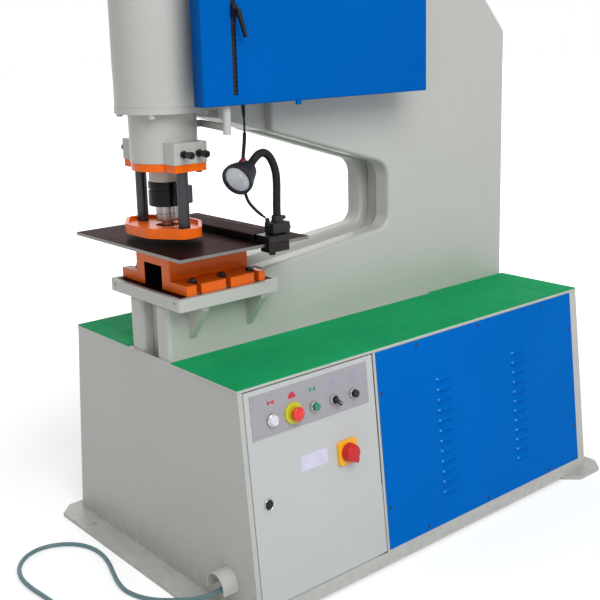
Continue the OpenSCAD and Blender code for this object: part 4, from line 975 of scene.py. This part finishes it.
bm = bmesh.new()
turn(bm, mm(
    (0, 35.2), (10, 35.2), (20.5, 34.6), (23.2, 33), (24.6, 30.5), (25, 27), (25.2, 20),
    (26.4, 18.6), (27, 16.5), (27, 10.3), (6, 10.3), (6, -30), (0, -30),
), switch_at, 56)
pointed = switch_at @ Matrix.Rotation(math.radians(28), 4, "Z")
lobe = prism(bm, mm((-23.2, -9), (0, -37.5), (23.2, -9)), 0.0205)
round_and_place(bm, lobe, edges_of(lobe), 0.002, 3, pointed @ Matrix.Translation((0, 0, 0.0108)))
soft_block(bm, (-0.0085, -0.0300, 0.0125), (0.0085, 0.0236, 0.0344), pointed, 0.004, 3)
hang("switch_knob", bm, switch_red, "main_switch", ["main_switch_knob"])
print("main switch: plate", round(2000 * switch_half), "mm square")

# %% Rubber seal round the door
bm = bmesh.new()
flat = on_side(0, 0)
seal_low, seal_high = -0.009, -0.004
for x0, y0, x1, y1 in (
    (-0.7242, -0.6151, -0.7190, -0.0098),
    (-0.7190, -0.0125, -0.2620, -0.0098),
    (-0.7190, -0.6151, -0.2620, -0.6105),
):
    soft_block(bm, (x0, y0, seal_low), (x1, y1, seal_high), flat, 0.0006)
hang("door_seal", bm, door_paint, "door")

# %% Door lock
lock_at = on_side(-0.671, 0.329)
bm = bmesh.new()
turn(bm, mm(
    (13.4, 3.4), (14, 4.4), (15, 4.8), (15.9, 4.2), (16.4, 2.8), (16.5, 0.3), (11, 0.3),
    (11, -26), (9.2, -26), (9.2, 1), (13.4, 1), (13.4, 3.4),
), lock_at, 48)
heart = turn(bm, mm(
    (0, 3.8), (8, 3.6), (12, 3), (13.6, 2.2), (13.6, 0.8), (9.3, 0.8), (9.3, -20), (0, -20),
), lock_at, 48)
paint_faces(heart, 1)
soft_block(bm, (-0.009, -0.058, -0.026), (0.009, 0.003, -0.023), lock_at, 0.0008, 1)
hang("lock_barrel", bm, [chrome, black_oxide], "lock", ["door_lock"])

# %% [markdown]
# ## Marks on the door
# Over each button stands a small plain pictogram, and a blank label is stuck by the main
# switch. They are film a fraction of a millimetre thick: flat shapes raised a little.

# %% Pictograms, plate screws and the blank label
mark_s = plate_s0 + 0.030
mark_scale, mark_ring = 1.5, 0.0055
film = 0.0003
mark_red = plastic("mark_red", srgb(196, 30, 58), 0.5)
mark_green = plastic("mark_green", srgb(20, 140, 104), 0.5)
mark_blue = plastic("mark_blue", srgb(122, 150, 214), 0.5)
label_film = plastic("label_film", srgb(214, 212, 232), 0.45)


def mark(bm, i, outline, slot, shift=(0, 0)):
    """One flat shape of the pictogram over a button."""
    place = on_side(button_x0 + i * button_pitch, mark_s, sheet_out)
    place = (place @ Matrix.Diagonal((mark_scale, mark_scale, 1, 1))
             @ Matrix.Translation((*shift, 0)))
    paint_faces(prism(bm, outline, film, place), slot)


bm = bmesh.new()
for i, film_slot in ((0, 0), (2, 1)):
    for side in (-1, 1):
        mark(bm, i, ngon(3, 0.0052, 0 if side < 0 else math.pi), film_slot, (side * 0.0048, 0))
mark(bm, 1, mm((-8.5, -4), (8.5, -4), (8.5, -0.5), (4, 7), (-4, 7), (-8.5, -0.5)), 0)
for step in range(4):
    turned = math.tau * step / 4
    mark(bm, 3, ngon(4, 0.0022, turned), 2, ngon(4, mark_ring, 0)[step])
    mark(bm, 4, ngon(3, 0.0032, turned), 2, ngon(4, mark_ring, 0.785)[step])
hang("pictograms", bm, [mark_red, mark_green, mark_blue], "door")

bm = bmesh.new()
plate_screw_in = 0.009
for x in (plate_x0 + plate_screw_in, plate_x0 + plate_w - plate_screw_in):
    for down in (plate_s0 + plate_screw_in, plate_s0 + plate_h - plate_screw_in):
        turn(bm, mm((0, 1.4), (1.2, 1.4), (2.4, 0.9), (3.1, 0)), on_side(x, down, sheet_out), 16)
hang("plate_screws", bm, ground_steel, "door")

bm = bmesh.new()
verts = block(bm, (-0.0490, -0.0215, 0), (0.0490, 0.0215, film))
bevel(bm, [e for e in edges_of(verts) if rise(e) > film / 2], 0.006, 4)
bmesh.ops.transform(bm, matrix=on_side(-0.5010, 0.2555, 0.00005), verts=bm.verts)
hang("blank_label", bm, label_film, "door")
print("marks over 5 buttons, in film", round(film * 1000, 1), "mm thick")

# %% [markdown]
# ## Fasteners
# Hexagon heads are forged and their corners are chamfered by turning. A six-sided prism cut
# by a shallow cone would copy that, but bevelling its top edges reads the same from a step
# away and costs only a few faces. Black bolts hold the tooling. Painted ones hold the head.

# %% Bolts of the die holder, with their washers
def hex_head(bm, radius, height, place, phase):
    """A hexagon head with its top corners eased."""
    verts = prism(bm, ngon(6, radius, phase), height)
    top = [e for e in edges_of(verts) if all(v.co.z > height * 0.9 for v in e.verts)]
    round_and_place(bm, verts, top, 0.0012, 2, place)


def shank(bm, radius, depth, place):
    """The plain rod below a bolt's head, a hair into it."""
    turn(bm, [(0, 0.0001), (radius, 0.0001), (radius, -depth), (0, -depth)], place, 16)


bm = bmesh.new()
bolt_y, bolt_z, washer_t = 0.139, 0.887, 0.0025
for i, x in enumerate((-0.668, -0.568, -0.468)):
    for side in (-1, 1):
        at = Matrix.Translation((x, side * bolt_y, bolt_z))
        turn(bm, mm((7, 0), (13.6, 0), (14, 0.5), (14, 2), (13.4, 2.5), (7, 2.5), (7, 0)), at, 32)
        on_washer = at @ Matrix.Translation((0, 0, washer_t))
        hex_head(bm, 0.011, 0.008, on_washer, 0.4 * i + 0.2 * side)
        turn(bm, mm((0, 11.5), (4, 11.5), (5.5, 10.6), (5.5, 10), (0, 10)), at, 20)
        shank(bm, 0.007, 0.050, at)
hang("holder_bolts", bm, black_oxide, stands_for=["cap_screws"])

# %% Set screws out of the head's ears
bm = bmesh.new()
for x in (-0.675, -0.625):
    for side in (-1, 1):
        at = turned_to((x, side * 0.134, 1.243), side * -math.pi / 2, "X")
        hex_head(bm, 0.011, 0.010, at, 0.3)
        turn(bm, mm((0, -20), (5, -20), (5, 10), (6, 10), (6, 28), (0, 28)), at, 20)
        turn(bm, mm(
            (0, 44), (3.2, 44), (3.4, 40.5), (5, 40.5), (5.2, 44), (8.6, 44), (9.8, 43), (10, 42),
            (10, 28.5), (9.4, 28), (0, 28),
        ), at, 32)
hang("ear_screws", bm, black_oxide, stands_for=["cap_screws"])

# %% Flange bolts, in the frame's paint, and the head plate's bolts
bm = bmesh.new()
ram_x = -0.650
for i in (-1, 1):
    for j in (-1, 1):
        at = turned_to((ram_x + i * 0.086, j * 0.086, 1.352), math.pi, "X")
        hex_head(bm, 0.010, 0.012, at, 0.35 * i + 0.2 * j)
        shank(bm, 0.006, 0.041, at)
hang("flange_bolts", bm, frame_paint, stands_for=["cap_screws"])
bm = bmesh.new()
for j in (-1, 1):
    at = turned_to((-0.610, j * 0.112, 1.193), math.pi, "X")
    hex_head(bm, 0.009, 0.006, at, 0.5)
    shank(bm, 0.004, 0.040, at)
hang("head_plate_bolts", bm, black_oxide, stands_for=["cap_screws"])
print("fasteners: 6 holder bolts, 4 set screws, 4 flange bolts, 2 plate bolts")

# %% [markdown]
# ## Punch, nut and stripper
# The punch hangs in a black union nut, and the orange stripper holds the sheet down as the
# punch is drawn out. The nut and the punch are turned; the stripper is a cast plate, so its
# corners get a large radius and its rims a small one.

# %% Nut, punch and die as turned parts
NUT = mm(
    (18, 1088), (48, 1088), (49.6, 1088.9), (50, 1090.5), (50, 1130.5), (49.4, 1131.8),
    (46.2, 1132.2), (46, 1136.8), (49.4, 1137.2), (50, 1138.5), (50, 1154.5), (48.8, 1157.2),
    (46.2, 1158), (18, 1158), (18, 1088),
)
PUNCH = mm(
    (0, 1015), (15.8, 1015), (16.5, 1015.6), (16.5, 1043), (28, 1043), (30, 1043.6),
    (30.8, 1044.6), (31, 1046), (31, 1050.5), (31, 1064), (30.3, 1064.8), (30.3, 1066),
    (31, 1066.8), (31, 1088), (18, 1088), (18, 1150), (0, 1150),
)
DIE = mm((17, 944), (29, 944), (29, 991.2), (28.2, 992), (17.8, 992), (17, 991.2), (17, 944))
# The punch's marks are drawn as strong, dark upright streaks: painted reflection bands.
punch_steel = steel("punch_steel", srgb(176, 170, 167), 0.3, grind_and_band_stretch=(1, 1, 0.02),
                    grind_and_band_size=0.010, mark_and_band_share=1.0, mark_and_band_shade=0.3)
ram_line = Matrix.Translation((ram_x, 0, 0))
turned_piece("union_nut", NUT, ram_line, 96, nut_steel, "ram_set",
             ["coupling_nut"])
turned_piece("round_punch", PUNCH, ram_line, 96, punch_steel, "ram_set",
             ["punch"])
turned_piece("round_die", DIE, ram_line, 96, turned_steel,
             stands_for=["die_insert"])
print("nut:", round(2000 * NUT[3][0]), "mm across, punch:", round(2000 * PUNCH[2][0]), "mm")

# %% Stripper
bore_x, bore_reach_x, bore_reach_y = -0.665, 0.03125, 0.05
post_y, post_reach = 0.108, 0.012


def on_outline(edge):
    """True for an upright edge that is part of neither the bore nor the post holes."""
    x, y, _ = edge.verts[0].co
    clear_of_bore = abs(y) > bore_reach_y or abs(x - bore_x) > bore_reach_x
    return rise(edge) > 0.02 and clear_of_bore and abs(abs(y) - post_y) > post_reach


bm = copy_of("stripper")
outer = hard_edges(bm, on_outline)
bevel(bm, outer, 0.016, 4, False)
bevel(bm, hard_edges(bm, lambda e: rise(e) < 1e-4), 0.0016, 3)
hang("stripper_plate", bm, orange_paint, stands_for=["stripper"])
print("stripper corners rounded:", len(outer))

# %% [markdown]
# ## Table, bolster and die holder
# These carry two finishes each. The table's top is dark and oiled, and its edges are ground
# paler. The bolster is painted, but its top is left machined. The slug slot in the orange
# holder is bare dark steel. The faces are picked by where they lie and which way they face.

# %% Two finishes on one part
def two_finishes(node, name, finishes, width, pick):
    """A rounded copy of a solid part, with a second finish on the faces that a test picks."""
    bm = copy_of(node)
    for face in bm.faces:
        face.normal_update()
        if pick(face):
            face.material_index = 1
    bevel(bm, hard_edges(bm), width, 2)
    hang(name, bm, finishes, body_of(node), [node])


edge_steel = steel("edge_steel", srgb(122, 119, 117), 0.34, grind_and_band_stretch=(0.3, 0.3, 6), mark_and_band_share=0.8)
two_finishes("table_plate", "work_table", [table_steel, edge_steel], 0.0012,
             lambda f: abs(f.normal.z) < 0.3)
slug_half_w, slug_top = 0.0455, 0.924
two_finishes("die_holder", "tool_holder", [orange_paint, black_oxide], 0.0022,
             lambda f: all(abs(v.co.y) < slug_half_w and v.co.z < slug_top for v in f.verts))

machined_above, painted_border = 0.8565, 0.016
bm = copy_of("bolster_plate")
top = [f for f in bm.faces if f.normal.z > 0.9 and f.calc_center_median().z > machined_above]
bmesh.ops.inset_region(bm, faces=top, thickness=painted_border, depth=0)
for face in top:
    face.material_index = 1
bevel(bm, hard_edges(bm), 0.0025, 3)
hang("bolster_block", bm, [frame_paint, bolster_steel],
     stands_for=["bolster_plate"])
print("parts with two finishes: 3")

# %% [markdown]
# ## Side cover
# A folded sheet box: its outer corners have the bend radius of the sheet, while its slot
# and rear edges are cut sharp. So only edges that lie on two outer planes are rounded.

# %% Side cover, rail and stop
low, high = [Vector(c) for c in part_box("side_cover")]


def on_two_planes(edge):
    """True for an edge along the outside of the cover, away from its open back."""
    middle = (edge.verts[0].co + edge.verts[1].co) / 2
    planes = [(0, low.x), (0, high.x), (1, low.y), (2, low.z), (2, high.z)]
    return sum(abs(middle[axis] - at) < 1e-4 for axis, at in planes) >= 2


rounded("side_cover", blue_paint, 0.0038, 4, on_two_planes, False)
for part, width, segments in (
    ("trip_rail", 0.0004, 1), ("stop_block", 0.0018, 3), ("stop_lever", 0.0014, 2),
):
    rounded(part, black_oxide, width, segments)

bm = bmesh.new()
soft_block(bm, (-0.366, -0.2515, 1.3620), (-0.348, -0.2440, 1.3732), Matrix.Identity(4), 0.001)
hang("cover_catch", bm, blue_paint)
print("side cover:", [round(v * 1000) for v in high - low], "mm")

# %% [markdown]
# ## Work lamp
# The lamp clamps to the table's edge. Its neck is a rubber-covered spring whose ribs catch the
# light, so it is built ring by ring along its course. The head's bowl is a bright reflector
# with a small frosted bulb, behind a slightly domed glass.

# %% Lamp neck
lamp_foot = Vector((-0.455, -0.258, 1.012))
neck_course = course_through([lamp_foot + Vector(p) / 1000 for p in (
    (0, 0, 34), (0, 0, 48), (0, 0, 78), (1, 0, 108), (2, 0, 138), (0, 0, 168), (-8, 0, 194),
    (-22, -1, 216), (-40, -2, 228), (-60, -3, 226), (-74, -3, 216), (-83, 1, 204), (-88, 5, 193),
)], 8)
rib_r, groove_r = 0.0115, 0.0106
bm = bmesh.new()
tube(bm, neck_course, [rib_r if i % 2 else groove_r for i in range(len(neck_course))], 24)
hang("ribbed_neck", bm, neck_rubber, stands_for=["lamp_neck"],
     smooth=math.radians(60))
print("neck rings:", len(neck_course))

# %% Lamp head, reflector, bulb and glass
lens_dir = Vector((-0.86, -0.36, -0.36)).normalized()
head_at = (Matrix.Translation(lamp_foot + Vector((-0.086, 0.005, 0.194)))
           @ Matrix.Rotation(math.atan2(lens_dir.y, lens_dir.x), 4, "Z")
           @ Matrix.Rotation(math.acos(lens_dir.z), 4, "Y"))
rounded("lamp_head", black_plastic, 0.0014, 2)

BOWL = mm(
    (0, 23.5), (10, 24.5), (20, 33), (28, 45), (33.5, 58), (36.2, 67.4), (36.6, 67.4), (34, 58),
    (28.5, 44.7), (20.3, 32.5), (10, 23.8), (0, 22.8),
)
BULB = mm((0, 56), (4, 55), (8, 51.5), (9.8, 46), (9, 39), (6.6, 32), (6, 25), (0, 25))
GLASS = mm(
    (0, 73.5), (12, 73.1), (24, 71.7), (32.5, 69.7), (36.6, 68.4), (36.6, 67.8), (32.5, 68.6),
    (24, 70.6), (12, 72), (0, 72.4),
)
mirror_silver = steel("mirror_silver", srgb(244, 245, 246), 0.36, 0.6, grind_and_band_size=0.03,
                      depth=0.000002, mark_and_band_share=0.1)
frosted = plastic("frosted_bulb", srgb(246, 246, 244), 0.4)
turned_piece("lamp_reflector", BOWL, head_at, 64, mirror_silver)
turned_piece("lamp_bulb", BULB, head_at, 32, frosted)
turned_piece("lamp_glass", GLASS, head_at, 64, clear_glass,
             stands_for=["lamp_lens"])
bm = bmesh.new()
soft_block(bm, (-0.037, -0.007, 0.018), (-0.026, 0.007, 0.036), head_at, 0.0022, 3)
hang("lamp_rocker_cap", bm, dark_red_plastic, "lamp_rocker", ["lamp_switch"])

# %% Lamp foot and its clamp
bm = bmesh.new()
still = Matrix.Identity(4)
soft_block(bm, (-0.485, -0.280, 1.0118), (-0.425, -0.236, 1.044), still, 0.004, 3)
soft_block(bm, (-0.492, -0.262, 1.032), (-0.484, -0.250, 1.058), still, 0.002, 2)
socket = Matrix.Translation((-0.455, -0.258, 1.043))
turn(bm, mm(
    (11.6, 19), (13.5, 19), (15.2, 17.5), (16, 15), (16, 6), (17.5, 5), (17.5, 1), (16.5, 0),
    (11.6, 0), (11.6, 19),
), socket, 40)
boss = turned_to((-0.443, -0.258, 1.053), math.pi / 2, "Y")
turn(bm, mm((0, 16), (4, 16), (5.5, 15), (6, 13), (6, 0), (0, 0)), boss, 24)
hang("lamp_foot", bm, black_plastic, stands_for=["lamp_base"])
bm = bmesh.new()
soft_block(bm, (-0.512, -0.292, 0.9921), (-0.440, -0.232, 1.012), still, 0.002, 2)
hang("clamp_body", bm, black_oxide, stands_for=["lamp_base"])
bm = bmesh.new()
soft_block(bm, (-0.512, -0.292, 0.966), (-0.440, -0.2783, 0.9925), still, 0.002, 2)
soft_block(bm, (-0.512, -0.290, 0.966), (-0.440, -0.252, 0.978), still, 0.002, 2)
screw = Matrix.Translation((-0.476, -0.258, 0.952))
turn(bm, mm((0, 30), (5, 30), (5, 6), (9, 6), (9, 0), (0, 0)), screw, 24)
hang("clamp_jaw", bm, gauge_steel, stands_for=["lamp_base"])

# %% Wing knob of the lamp's foot
knob = turned_to((-0.425, -0.258, 1.024), math.pi / 2, "Y")
bm = bmesh.new()
turn(bm, mm(
    (0, 13), (6, 13), (8.2, 12), (9, 10), (9, 3), (8, 1.2), (4, 1), (4, -12), (0, -12),
), knob, 32)
soft_block(bm, (-0.0115, -0.003, 0.004), (0.0115, 0.003, 0.0125), knob, 0.0022, 3)
hang("wing_knob", bm, black_plastic, "foot_knob", ["lamp_knob"])
print("lamp made")
